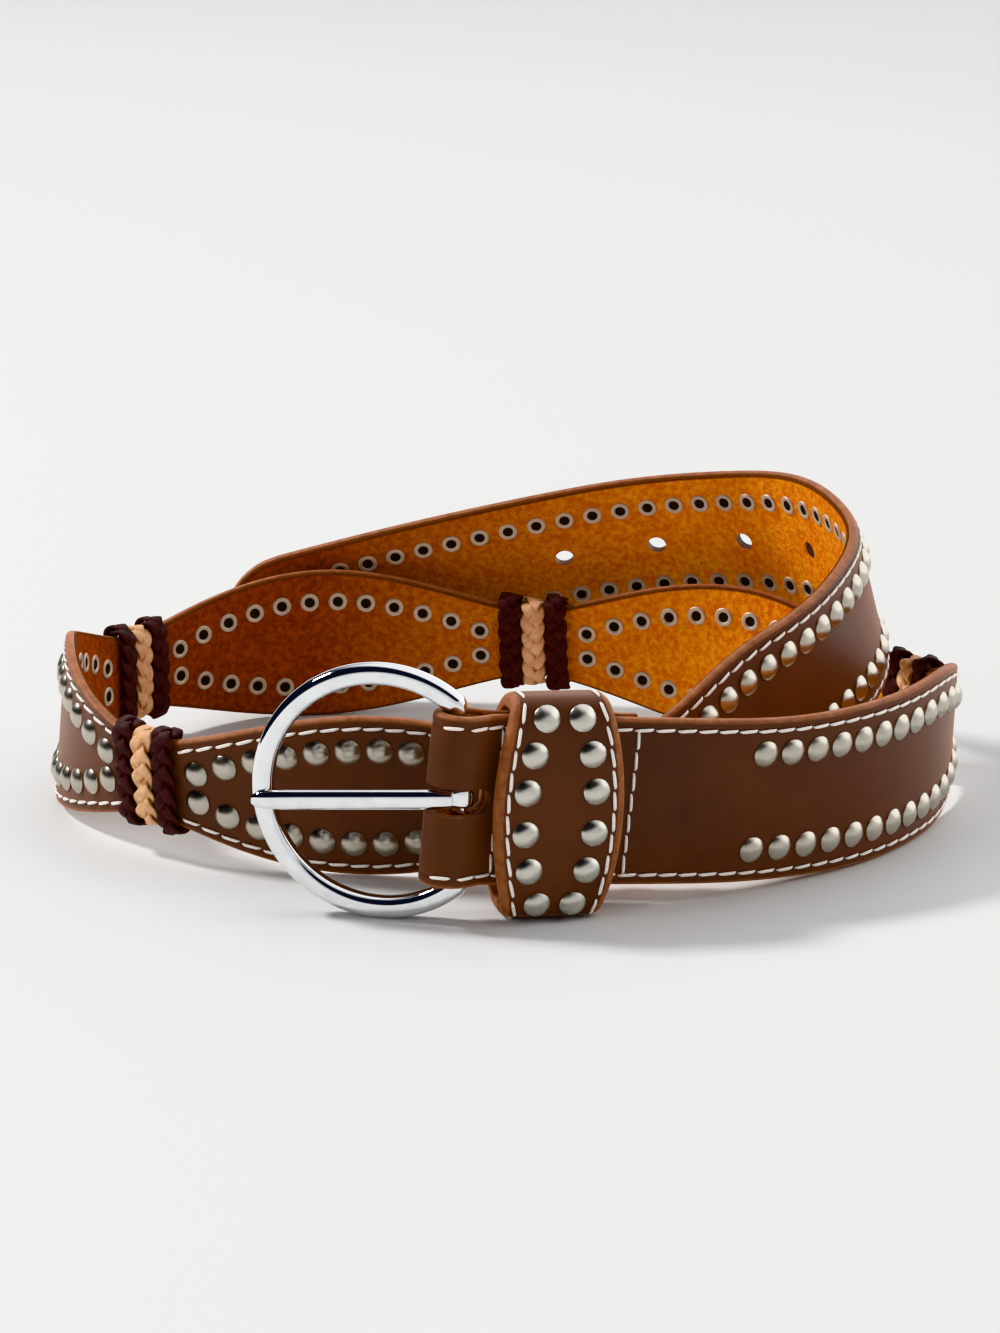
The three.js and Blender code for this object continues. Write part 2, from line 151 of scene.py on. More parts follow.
class Slot(Enum):
    """The record's material slots."""

    LEATHER = "leather"
    SUEDE = "suede"
    STUDS = "studs"
    CHROME = "chrome"
    DARK_CORD = "dark_cord"
    TAN_CORD = "tan_cord"
    THREAD = "thread"


# Meshes


@dataclass
class Surface:
    """Points in millimetres with faces, and what is painted on them.

    Args:
        points: one row of x, y, z for each point.
        faces: tuples of point numbers.
        masks: a value for each point, by the name that materials read.
        finish: a material number for each face, or None where there is one material.
    """

    points: Array
    faces: list
    masks: dict[str, Array] = field(default_factory=dict)
    finish: Array | None = None


def grid_faces(rows: int, columns: int, close_rows: bool) -> list:
    """Four-sided faces of a grid of points, stored row by row, with each row a closed ring.

    Args:
        rows: number of rows of points.
        columns: number of points in a row.
        close_rows: joins the last row to the first.

    Returns:
        A list of four point numbers for each face.
    """
    i = np.arange(rows if close_rows else rows - 1)[:, None]
    j = np.arange(columns)[None, :]
    a = i * columns + j
    b = i * columns + (j + 1) % columns
    c = ((i + 1) % rows) * columns + (j + 1) % columns
    d = ((i + 1) % rows) * columns + j
    return np.stack([a, b, c, d], axis=-1).reshape(-1, 4).tolist()


def closed_loft(rings: Array, joined: bool = False) -> Surface:
    """A closed surface through equal rings of points, capped at its ends unless it is joined up.

    Args:
        rings: an array of rings by points by x, y, z, each ring counter-clockwise as seen from
            the last one, so that the faces point out.
        joined: closes the last ring onto the first, with no caps.
    """
    rows, columns = rings.shape[:2]
    faces = grid_faces(rows, columns, joined)
    if not joined:
        last = (rows - 1) * columns
        faces.append(list(range(columns))[::-1])
        faces.append([last + j for j in range(columns)])
    return Surface(rings.reshape(-1, 3), faces)


def revolved(profile: Array, sides: int) -> Surface:
    """A profile of radius and height turned round the third axis, with its last point a pole.

    Args:
        profile: rows of radius and height, from the rim to a last row with radius 0.
        sides: number of points round the axis.
    """
    turn = 2 * np.pi * np.arange(sides) / sides
    radius, height = profile[:-1, 0], profile[:-1, 1]
    ring = np.stack([np.cos(turn), np.sin(turn)], axis=-1)
    flat = radius[:, None, None] * ring[None]
    tall = np.broadcast_to(height[:, None, None], (len(radius), sides, 1))
    points = np.concatenate([flat, tall], axis=-1).reshape(-1, 3)
    pole = len(points)
    top = pole - sides
    faces = [list(range(sides))[::-1]] + grid_faces(len(radius), sides, False)
    faces += [[top + j, top + (j + 1) % sides, pole] for j in range(sides)]
    return Surface(np.vstack([points, [0, 0, profile[-1, 1]]]), faces)


@dataclass
class Places:
    """Where copies of a small piece go: an origin and three axes for each copy."""

    origin: Array
    x: Array
    y: Array
    z: Array

    def copies(self, template: Surface) -> Surface:
        """Every copy of the template as one surface: origin + a x + b y + c z for its a, b, c."""
        a, b, c = (template.points[None, :, k, None] for k in range(3))
        x, y, z = (axis[:, None, :] for axis in (self.x, self.y, self.z))
        points = self.origin[:, None, :] + a * x + b * y + c * z
        count, size = points.shape[:2]
        faces = [[n + k * size for n in face] for k in range(count) for face in template.faces]
        finish = None if template.finish is None else np.tile(template.finish, count)
        masks = {name: np.tile(mask, count) for name, mask in template.masks.items()}
        return Surface(points.reshape(-1, 3), faces, masks, finish)

    def turned(self, angle: Array | float) -> "Places":
        """The same places with x and y turned about z by an angle in radians."""
        angle = np.broadcast_to(np.asarray(angle, float), (len(self.origin),))[:, None]
        x = self.x * np.cos(angle) + self.y * np.sin(angle)
        y = self.y * np.cos(angle) - self.x * np.sin(angle)
        return Places(self.origin, x, y, self.z)


def merged(surfaces: list[Surface]) -> Surface:
    """Several surfaces with the same masks as one."""
    start = np.cumsum([0] + [len(s.points) for s in surfaces])
    faces = [[n + start[i] for n in face] for i, s in enumerate(surfaces) for face in s.faces]
    names = surfaces[0].masks
    masks = {name: np.concatenate([s.masks[name] for s in surfaces]) for name in names}
    finish = None
    if surfaces[0].finish is not None:
        finish = np.concatenate([s.finish for s in surfaces])
    return Surface(np.vstack([s.points for s in surfaces]), faces, masks, finish)


def make_piece(
    name: str,
    surface: Surface,
    materials: list[bpy.types.Material],
    slot: Slot,
    body: Body = Body.STRAP,
    stands_for: tuple[str, ...] = (),
) -> bpy.types.Object:
    """A Blender object from a surface, shaded smooth and riding on its body.

    Args:
        name: the piece's name.
        surface: its points and faces, in millimetres.
        materials: the materials that the surface's finish numbers mean.
        slot: the record's slot that it takes its finish from.
        body: the body that it moves with.
        stands_for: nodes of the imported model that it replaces.

    Returns:
        The new object.
    """
    mesh = bpy.data.meshes.new(name)
    mesh.from_pydata((surface.points * MM).tolist(), [], surface.faces)
    for mask, values in surface.masks.items():
        attribute = mesh.attributes.new(mask, "FLOAT", "POINT")
        attribute.data.foreach_set("value", values.astype(np.float32))
    for material in materials:
        mesh.materials.append(material)
    if surface.finish is not None:
        mesh.polygons.foreach_set("material_index", surface.finish.astype(np.int32))
    mesh.polygons.foreach_set("use_smooth", np.ones(len(mesh.polygons), bool))
    mesh.update()
    piece = bpy.data.objects.new(name, mesh)
    bpy.context.scene.collection.objects.link(piece)
    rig.ride(piece, body.value)
    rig.slot(piece, slot.value)
    if stands_for:
        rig.replaces(piece, *stands_for)
    LOG.info("%s: %d faces", name, len(mesh.polygons))
    return piece


def smooth_step(low: float, high: float, value: Array) -> Array:
    """0 below low, 1 above high and 3t^2 - 2t^3 between."""
    t = np.clip((value - low) / (high - low), 0, 1)
    return t * t * (3 - 2 * t)


def unit(vectors: Array) -> Array:
    """Each vector at length 1."""
    return vectors / np.linalg.norm(vectors, axis=-1, keepdims=True)


def squared(value: Array, power: float) -> Array:
    """Keeps the sign of a value and raises its size: sign(value) |value|^power."""
    return np.sign(value) * np.abs(value) ** power


def ways(line: Array) -> Array:
    """The direction of a closed line at each of its points."""
    return unit(np.roll(line, -1, axis=0) - np.roll(line, 1, axis=0))


def evenly(up: Array, out: Array, steps: int) -> tuple[Array, Array]:
    """A number of evenly spaced points along a closed line, given by its ups and outs."""
    length = np.concatenate([[0], np.cumsum(np.hypot(np.diff(up), np.diff(out)))])
    even = np.linspace(0, length[-1], steps, endpoint=False)
    return np.interp(even, length, up), np.interp(even, length, out)


# The belt's line


@dataclass(frozen=True)
class Route:
    """The middle line of the whole belt, integrated from its direction.

    Each row gives a distance along, the heading in plan in degrees, the height of the middle and
    how far the top leans in over the coil in degrees. A cubic runs through every column, with the
    slope at a row taken from the rows on both sides of it.
    """

    start: tuple[float, float] = (-10.2, -93.2)
    end: float = 962.0
    before: int = 12
    rows: tuple[tuple[float, float, float, float], ...] = (
        (0, 18.5, 29.5, 0),
        (45, 18.5, 25, -3),
        (80, 32, 21.5, -6),
        (115, 52, 20.1, -4),
        (150, 73, 20.1, -3),
        (180, 102.5, 18.5, -1),
        (210, 142, 17.5, 6),
        (245, 150.5, 20, 0),
        (300, 171, 21, 13),
        (355, 183.5, 20.1, 5),
        (410, 227.5, 18.5, -1),
        (440, 257.5, 19.5, -2),
        (475, 278, 21, 5),
        (520, 317, 20, -6),
        (565, 349.5, 20, -7),
        (630, 356.5, 23.5, -5),
        (665, 403.5, 30, 7),
        (700, 413, 38, 0),
        (735, 431.5, 45.5, 8),
        (765, 460, 50.5, 16),
        (795, 478, 51.5, 15),
        (825, 511, 49, 19),
        (860, 534.5, 44, 20),
        (905, 537, 34.5, 22),
        (965, 541, 18.5, 18),
    )

    def column(self, number: int, s: Array) -> Array:
        """One column's cubic at distances s, carried on straight past both ends."""
        table = np.array(self.rows, float)
        at, value = table[:, 0], table[:, number]
        low = np.maximum(np.arange(len(at)) - 1, 0)
        high = np.minimum(np.arange(len(at)) + 1, len(at) - 1)
        slope = (value[high] - value[low]) / (at[high] - at[low])
        i = np.clip(np.searchsorted(at, s, side="right") - 1, 0, len(at) - 2)
        h = at[i + 1] - at[i]
        u = (s - at[i]) / h
        inside = (
            (2 * u**3 - 3 * u**2 + 1) * value[i]
            + (u**3 - 2 * u**2 + u) * h * slope[i]
            + (3 * u**2 - 2 * u**3) * value[i + 1]
            + (u**3 - u**2) * h * slope[i + 1]
        )
        past = np.where(s < at[0], value[0] + slope[0] * (s - at[0]), inside)
        return np.where(s > at[-1], value[-1] + slope[-1] * (s - at[-1]), past)

    def axes(self, s: Array) -> tuple[Array, Array, Array]:
        """Forward along the belt, up its width and out through its face, at distances s.

        The heading turns forward in plan, the slope of the height tilts it, and the lean turns up
        and out about it.
        """
        rise = (self.column(2, s + 1) - self.column(2, s - 1)) / 2
        level = np.sqrt(1 - rise**2)
        heading = np.radians(self.column(1, s))
        lean = np.radians(self.column(3, s))[..., None]
        flat = np.zeros_like(heading)
        forward = np.stack([np.cos(heading) * level, np.sin(heading) * level, rise], axis=-1)
        side = np.stack([np.sin(heading), -np.cos(heading), flat], axis=-1)
        up = np.cross(side, forward) * np.cos(lean) - side * np.sin(lean)
        return forward, up, np.cross(forward, up)

    def middle(self, s: Array) -> Array:
        """The middle line: the sum of the forward steps of 1 mm, at the height of the table."""
        steps = np.arange(-self.before, self.end + self.before + 1)
        forward = self.axes(steps[:-1] + 0.5)[0][:, :2]
        plan = np.vstack([np.zeros(2), np.cumsum(forward, axis=0)])
        plan += np.array(self.start) - plan[self.before]
        line = [np.interp(s, steps, plan[:, k]) for k in range(2)]
        return np.stack([*line, self.column(2, s)], axis=-1)


ROUTE = Route()


@dataclass(frozen=True)
class Widths:
    """How the belt's width and its rows of studs run together towards the wraps.

    Args:
        strap: half the width of the plain leather.
        waist: half the width at a wrap.
        fullness: power of the sine that the width swells by, lower for a fuller panel.
        first_wrap: distance of the first wrap's middle.
        link: distance from one wrap to the next.
        panels: number of panels between the wraps.
        tip_round: how far the tip's rounding reaches.
        row: height of a row of studs where it runs straight.
        row_narrow: its height at a wrap.
        row_power: power of the sine that the row swells by.
        row_studs: number of studs in a panel's row.
        stud_pitch: distance from one stud to the next.
        first_stud: distance from a wrap to its nearest stud.
        seam_gap: distance from a wrap to the nearest edge stitch.
        joint: distance from a wrap's middle to the end of the leather.
    """

    strap: float = 20.0
    waist: float = 9.3
    fullness: float = 1.35
    first_wrap: float = 192.0
    link: float = 111.0
    panels: int = 4
    tip_round: float = 20.0
    row: float = 11.8
    row_narrow: float = 3.6
    row_power: float = 0.9
    row_studs: int = 12
    stud_pitch: float = 7.5
    first_stud: float = 14.25
    seam_gap: float = 9.2
    joint: float = 0.15

    def half(self, s: Array) -> Array:
        """Half the width: waist + (strap - waist) sin(pi d / link)^fullness beside the wraps.

        It is strap elsewhere, and strap sqrt(1 - u^2) for u from 0 to 1 over the tip's rounding.
        """
        last = self.first_wrap + self.panels * self.link
        d = np.mod(s - self.first_wrap, self.link)
        plain = (s < self.first_wrap - self.link / 2) | (s > last + self.link / 2)
        d = np.where(plain, self.link / 2, d)
        swell = np.maximum(np.sin(np.pi * d / self.link), 0) ** self.fullness
        half = self.waist + (self.strap - self.waist) * swell
        u = np.maximum((s - ROUTE.end + self.tip_round) / self.tip_round, 0)
        return half * np.sqrt(np.maximum(1 - u**2, 0.01))

    def wrap_at(self, number: int) -> float:
        """The middle of a wrap, counted from 1."""
        return self.first_wrap + (number - 1) * self.link

    def panel_row(self) -> Array:
        """Heights of a panel's row: narrow + (row - narrow) sin(pi k / last)^power for stud k."""
        last = self.row_studs - 1
        swell = np.sin(np.pi * np.arange(self.row_studs) / last) ** self.row_power
        return self.row_narrow + (self.row - self.row_narrow) * swell

    def end_row(self, studs: int) -> Array:
        """Heights of an end's row from its wrap on: half a panel's row, and then straight."""
        heights = np.full(studs, self.row)
        half = self.row_studs // 2
        heights[:half] = self.panel_row()[:half]
        return heights


WIDTHS = Widths()


# Leather


@dataclass(frozen=True)
class Section:
    """The outline across a run of leather: an outer leather, or the suede lining behind it.

    Args:
        face: height of its outer face from the strap's middle.
        back: height of its inner face.
        inset: how far its edges lie inside the strap's own.
        rounding: how far the outer edge's curve reaches in over the face.
        drop: how deep that curve goes.
        heel: radius of the inner edge.
        groove: depth of the stitch groove, or 0 where there is none.
        groove_wide: half the width of that groove.
        seam: distance of the stitch groove from the edge.
        crown: how far the face falls from the middle to the edges.
        burnish: distances from the edge where the worn colour of the edge starts and is full.
        raw: whether its inner face has the colour of the edge.
        zone: width of the part along each edge whose points keep their distance from it.
    """

    face: float
    back: float
    inset: float = 0.0
    rounding: float = 1.0
    drop: float = 1.0
    heel: float = 0.35
    groove: float = 0.0
    groove_wide: float = 0.42
    seam: float = 2.6
    crown: float = 0.12
    burnish: tuple[float, float] = (1.3, 0.5)
    raw: bool = True
    zone: float = 4.2

    def half_outline(self) -> tuple[Array, Array, Array]:
        """The outline from the middle of the face over the top edge to the middle of the back.

        Returns:
            The share of the half width that a point keeps, its distance from the edge at share 1,
            and its height through the leather. A point lies at share (half - zone) while the
            share is under 1, and at half - distance from there on.
        """
        share = np.array([0.0, 0.3, 0.6, 0.85])
        inner = np.array([self.zone, 3.8, 3.5, 3.2, 2.9, 2.6, 2.3, 2.0, 1.6, 1.25])
        inner = inner[inner > self.rounding + 0.1]
        dip = self.groove * np.exp(-(((inner - self.seam) / self.groove_wide) ** 2))
        bend = np.radians(np.linspace(0, 90, 7))
        over = self.rounding * (1 - np.sin(bend))
        down = self.face - self.drop * (1 - np.cos(bend))
        turn = np.radians(np.linspace(0, 90, 5))
        under = self.heel * (1 - np.cos(turn))
        low = self.back + self.heel * (1 - np.sin(turn))
        level = np.array([self.heel + 0.1, self.heel + 0.5])
        distance = np.concatenate([share * 0, inner, over, under, level, share * 0])
        back = np.full(len(level) + len(share), self.back)
        height = np.concatenate([share * 0 + self.face, self.face - dip, down, low, back])
        edge = len(inner) + len(over) + len(under) + len(level)
        return np.concatenate([share, np.ones(edge), share[::-1]]), distance, height

    def outline(self, half: Array) -> tuple[Array, Array, Array]:
        """The closed outline at each half width, whose face falls by crown (up / half)^4.

        Args:
            half: half the strap's width at each station.

        Returns:
            Arrays of stations by points: place up the width, place through the leather, and how
            close to a cut edge the point is, from 0 to 1.
        """
        shares, distance, height = self.half_outline()
        half = half[:, None] - self.inset
        up = np.where(shares < 1, shares * (half - self.zone), half - distance)
        up = np.maximum(up, 0.02 * half * shares)
        fall = self.crown * (up / half) ** 4 * (height > (self.face + self.back) / 2)
        out = height[None] - fall
        rim = np.where(shares < 1, 0.0, smooth_step(*self.burnish, distance))
        rim = np.where(self.raw & (height < self.back + 0.01), 1.0, rim) * np.ones_like(up)
        mirror = slice(-2, 0, -1)
        up = np.hstack([up, -up[:, mirror]])
        out = np.hstack([out, out[:, mirror]])
        rim = np.hstack([rim, rim[:, mirror]])
        return up, out, rim


OUTER = Section(face=1.5, back=-0.75, groove=0.2)
LINING = Section(
    face=-0.7,
    back=-1.5,
    inset=0.3,
    rounding=0.25,
    drop=0.25,
    heel=0.45,
    crown=0,
    burnish=(0.95, 0.45),
    raw=False,
)
LOOP = Section(face=1.65, back=-1.65, rounding=2.1, drop=1.5, seam=2.7, burnish=(2.3, 1.5))


@dataclass
class Strip:
    """A line with its own axes, which leather, studs and stitches are laid along."""

    along: Array
    middle: Array
    up: Array
    out: Array
    half: Array
    joined: bool = False

    def leather(self, section: Section) -> Surface:
        """The section carried along the line: middle + v up + w out for each v, w of it."""
        v, w, rim = section.outline(self.half)
        rings = (
            self.middle[:, None]
            + v[..., None] * self.up[:, None]
            + w[..., None] * self.out[:, None]
        )
        surface = closed_loft(rings[:, ::-1], self.joined)
        surface.masks = {"rim": rim[:, ::-1].ravel()}
        return surface

    def read(self, values: Array, s: Array) -> Array:
        """Values given at the stations, between them at distances s, round and round if joined."""
        period = self.along[-1] + self.along[1] if self.joined else None
        if values.ndim == 1:
            return np.interp(s, self.along, values, period=period)
        columns = [np.interp(s, self.along, values[:, k], period=period) for k in range(3)]
        return np.stack(columns, axis=-1)

    def places(self, s: Array, v: Array, w: float) -> Places:
        """Places on the strip at distances s, heights v and depth w, with x along it."""
        up = unit(self.read(self.up, s))
        out = unit(self.read(self.out, s))
        forward = unit(np.cross(up, out))
        out = np.cross(forward, up)
        origin = self.read(self.middle, s) + v[:, None] * up + w * out
        return Places(origin, forward, up, out)


def route_strip(start: float, end: float, step: float = 1.5) -> Strip:
    """The strip of a plain run of the belt between two distances."""
    s = np.linspace(start, end, max(int((end - start) / step), 2))
    _, up, out = ROUTE.axes(s)
    return Strip(s, ROUTE.middle(s), up, out, WIDTHS.half(s))


# Small repeated pieces


@dataclass(frozen=True)
class Stud:
    """A dome stud and the rolled rivet end that shows on the suede side.

    Args:
        radius: radius of the dome's rim.
        high: height of the dome.
        step: share of the height that the dome's edge stands up by.
        power: how late the dome turns down, 2 for a parabola.
        sides: number of points round the dome.
        rivet: outer radius of the rivet end.
        bore: radius of its dark bore.
        rivet_sides: number of points round the rivet end.
    """

    radius: float = 3.2
    high: float = 1.65
    step: float = 0.14
    power: float = 2.4
    sides: int = 20
    rivet: float = 2.5
    bore: float = 1.42
    rivet_sides: int = 18

    def dome(self) -> Surface:
        """A rim and, turned round its axis, high (step + (1 - step) (1 - (r / radius)^power))."""
        share = np.array([1.0, 0.97, 0.9, 0.78, 0.62, 0.42, 0.2])
        height = self.high * (self.step + (1 - self.step) * (1 - share**self.power))
        rim = [[self.radius, -0.3], [self.radius, 0.02]]
        rows = np.stack([self.radius * share, height], axis=-1)
        return revolved(np.vstack([rim, rows, [0, self.high]]), self.sides)

    def back(self) -> Surface:
        """The rolled end with a dark bore, a flat disc of painted shade: the metal is finish 0 and the bore is finish
        1.
        """
        rows = np.array(
            [
                [self.rivet + 0.05, -0.15],
                [self.rivet, 0.18],
                [self.rivet - 0.25, 0.4],
                [self.rivet - 0.6, 0.48],
                [self.bore + 0.3, 0.38],
                [self.bore + 0.05, 0.24],
                [self.bore - 0.05, 0.17],
                [0, 0.17],
            ]
        )
        surface = revolved(rows, self.rivet_sides)
        faces = len(surface.faces)
        # The pole's disc is the bore, which takes the near-black painted shade.
        surface.finish = (np.arange(faces) >= faces - self.rivet_sides).astype(int)
        return surface


@dataclass(frozen=True)
class Stitch:
    """One stitch of thick thread, whose ends dive into the leather.

    Args:
        long: its length from end to end.
        pitch: distance from one stitch to the next.
        radius: radius of the thread.
        slant: how far it turns from the seam's line, in degrees.
        high: height of its middle line over the leather.
        dive: how far that line falls to its ends.
        flat: width and height of the pressed thread, as shares of its radius.
    """

    long: float = 4.7
    pitch: float = 5.0
    radius: float = 0.35
    slant: float = 4.0
    high: float = 0.2
    dive: float = 0.45
    flat: tuple[float, float] = (1.15, 0.85)

    def shape(self) -> Surface:
        """A tube along x at height high - dive (2x / long)^6, thinner at both ends."""
        t = np.linspace(-1, 1, 9)
        x = t * self.long / 2
        height = self.high - self.dive * np.abs(t) ** 6
        radius = self.radius * (1 - 0.55 * np.abs(t) ** 5)
        turn = 2 * np.pi * np.arange(7) / 7
        y = radius[:, None] * np.cos(turn) * self.flat[0]
        z = height[:, None] + radius[:, None] * np.sin(turn) * self.flat[1]
        rings = np.stack([np.broadcast_to(x[:, None], y.shape), y, z], axis=-1)
        return closed_loft(rings)


STUD = Stud()
STITCH = Stitch()


def facing_in(places: Places) -> Places:
    """The same places seen from the suede side, with z pointing in."""
    return Places(places.origin, -places.x, places.y, -places.z)


def edge_stitches(
    strip: Strip, start: float, end: float, side: int, section: Section = OUTER
) -> Places:
    """Places of the stitches along one edge of a strip, turned with the edge.

    Args:
        strip: the leather's line.
        start: distance of the first stitch's near end.
        end: distance of the last stitch's far end.
        side: 1 for the upper edge and -1 for the lower one.
        section: the leather's section, which has the seam.
    """
    count = max(int((end - start) / STITCH.pitch), 1)
    s = start + (np.arange(count) + 0.5) * (end - start) / count
    v = side * (strip.read(strip.half, s) - section.seam)
    ahead = strip.read(strip.half, s + 1) - strip.read(strip.half, s - 1)
    slope = np.arctan2(side * ahead, 2) + math.radians(STITCH.slant)
    return strip.places(s, v, section.face).turned(slope)


def cross_stitches(strip: Strip, at: float, reach: float, face: float) -> Places:
    """Places of a row of stitches across the width at one distance, evenly spaced over 2 reach."""
    count = round(2 * reach / STITCH.pitch)
    v = reach * (2 * (np.arange(count) + 0.5) / count - 1)
    places = strip.places(np.full(count, at), v, face)
    return places.turned(math.radians(90 + STITCH.slant))


# Finishes


def feed(tree: bpy.types.NodeTree, target: bpy.types.Node, inputs: dict[str, object]) -> None:
    """Sets the inputs of a node, by name or number, and links those whose value is a socket."""
    for key, value in inputs.items():
        if isinstance(value, bpy.types.NodeSocket):
            tree.links.new(value, target.inputs[key])
        else:
            target.inputs[key].default_value = value


def node(
    tree: bpy.types.NodeTree,
    kind: str,
    inputs: dict[str, object] | None = None,
    settings: dict[str, object] | None = None,
) -> bpy.types.Node:
    """Adds a shader node.

    Args:
        tree: the node tree.
        kind: Blender's name of the node, without its ShaderNode prefix.
        inputs: a value, or a socket to link, for each input by name or number.
        settings: values of the node's own properties.

    Returns:
        The new node.
    """
    made = tree.nodes.new("ShaderNode" + kind)
    for key, value in (settings or {}).items():
        setattr(made, key, value)
    feed(tree, made, inputs or {})
    return made


def maths(
    tree: bpy.types.NodeTree, operation: str, a: object, b: object, clamp: bool = False
) -> bpy.types.NodeSocket:
    """The result of one sum of two values or sockets, kept from 0 to 1 if it is to be clamped."""
    settings = {"operation": operation, "use_clamp": clamp}
    return node(tree, "Math", {0: a, 1: b}, settings).outputs[0]


def blend(tree: bpy.types.NodeTree, share: object, a: object, b: object) -> bpy.types.NodeSocket:
    """A colour between a and b, by a share that is a value or a socket."""
    mixed = node(tree, "Mix", None, {"data_type": "RGBA"})
    feed(tree, mixed, {0: share, 6: a, 7: b})
    return mixed.outputs[2]


def spread(
    tree: bpy.types.NodeTree, value: bpy.types.NodeSocket, low: float, high: float
) -> bpy.types.NodeSocket:
    """A mask from 0 to 1 stretched to run from low to high."""
    return node(tree, "MapRange", {"Value": value, "To Min": low, "To Max": high}).outputs[0]


def srgb(red: int, green: int, blue: int) -> tuple[float, float, float, float]:
    """A colour as seen on screen, from 0 to 255, in Blender's linear values."""
    seen = np.array([red, green, blue]) / 255
    linear = np.where(seen <= 0.04045, seen / 12.92, ((seen + 0.055) / 1.055) ** 2.4)
    return (*linear.tolist(), 1.0)


def shaded(colour: tuple, share: float) -> tuple:
    """A colour at a share of its brightness."""
    return tuple(share * part for part in colour[:3]) + (1.0,)


class Effects:
    """Shader node groups that several materials share, each built once."""

    def __init__(self) -> None:
        """Starts with no group built."""
        self.built: dict[str, bpy.types.NodeTree] = {}

    def start(self, name: str, inputs: dict[str, float], outputs: list[str]) -> tuple:
        """A new group with a Vector input, float inputs and float outputs.

        Returns:
            The tree, its input node's sockets by name and its output node.
        """
        tree = bpy.data.node_groups.new(name, "ShaderNodeTree")
        vector = tree.interface.new_socket("Vector", in_out="INPUT", socket_type="NodeSocketVector")
        vector.hide_value = True
        for key, value in inputs.items():
            socket = tree.interface.new_socket(key, in_out="INPUT", socket_type="NodeSocketFloat")
            socket.default_value = value
        for key in outputs:
            tree.interface.new_socket(key, in_out="OUTPUT", socket_type="NodeSocketFloat")
        given = tree.nodes.new("NodeGroupInput").outputs
        result = tree.nodes.new("NodeGroupOutput")
        self.built[name] = tree
        return tree, given, result

    def mottle(self) -> bpy.types.NodeTree:
        """Soft blotches: noise at Scale, stretched by Contrast about its middle, as Mask."""
        if "mottle" in self.built:
            return self.built["mottle"]
        tree, given, result = self.start("mottle", {"Scale": 40.0, "Contrast": 2.0}, ["Mask"])
        noise = node(
            tree,
            "TexNoise",
            {"Vector": given["Vector"], "Scale": given["Scale"], "Detail": 4.0, "Roughness": 0.6},
        )
        centred = maths(tree, "SUBTRACT", noise.outputs["Fac"], 0.5)
        stretched = maths(tree, "MULTIPLY", centred, given["Contrast"])
        mask = maths(tree, "ADD", stretched, 0.5, clamp=True)
        tree.links.new(mask, result.inputs["Mask"])
        return tree

    def grain(self) -> bpy.types.NodeTree:
        """Leather grain: the creases between cells of Scale, with finer noise over them."""
        if "grain" in self.built:
            return self.built["grain"]
        tree, given, result = self.start("grain", {"Scale": 1100.0, "Fine": 0.4}, ["Height"])
        cells = node(
            tree,
            "TexVoronoi",
            {"Vector": given["Vector"], "Scale": given["Scale"]},
            {"feature": "SMOOTH_F1"},
        )
        creased = spread(tree, cells.outputs["Distance"], 1.0, 0.0)
        finer = maths(tree, "MULTIPLY", given["Scale"], 2.7)
        noise = node(tree, "TexNoise", {"Vector": given["Vector"], "Scale": finer, "Detail": 3.0})
        small = maths(tree, "MULTIPLY", noise.outputs["Fac"], given["Fine"])
        height = maths(tree, "ADD", creased, small)
        tree.links.new(height, result.inputs["Height"])
        return tree

    def place(
        self, tree: bpy.types.NodeTree, group: bpy.types.NodeTree, inputs: dict[str, object]
    ) -> bpy.types.NodeSocket:
        """Puts a group into a material with its own values and gives its first output."""
        made = tree.nodes.new("ShaderNodeGroup")
        made.node_tree = group
        feed(tree, made, inputs)
        return made.outputs[0]

    def mottled(
        self,
        tree: bpy.types.NodeTree,
        where: bpy.types.NodeSocket,
        scale: float,
        contrast: float = 2.0,
    ) -> bpy.types.NodeSocket:
        """The blotches as seen at where, with their scale and contrast."""
        inputs = {"Vector": where, "Scale": scale, "Contrast": contrast}
        return self.place(tree, self.mottle(), inputs)


EFFECTS = Effects()


def new_material(name: str) -> tuple[bpy.types.Material, bpy.types.Node, bpy.types.NodeSocket]:
    """A material with a Principled shader, and the Object coordinates to read patterns by."""
    material = bpy.data.materials.new(name)
    material.use_nodes = True
    shader = material.node_tree.nodes["Principled BSDF"]
    coordinates = node(material.node_tree, "TexCoord").outputs["Object"]
    return material, shader, coordinates


def bump(
    tree: bpy.types.NodeTree, height: bpy.types.NodeSocket, strength: float, distance: float
) -> bpy.types.NodeSocket:
    """A Normal from a height, with the distance in metres that a height of 1 stands for."""
    inputs = {"Height": height, "Strength": strength, "Distance": distance}
    return node(tree, "Bump", inputs).outputs["Normal"]


def rim_mask(tree: bpy.types.NodeTree) -> bpy.types.NodeSocket:
    """How close the leather is to a cut edge, as painted on its mesh, from 0 to 1."""
    return node(tree, "Attribute", None, {"attribute_name": "rim"}).outputs["Fac"]


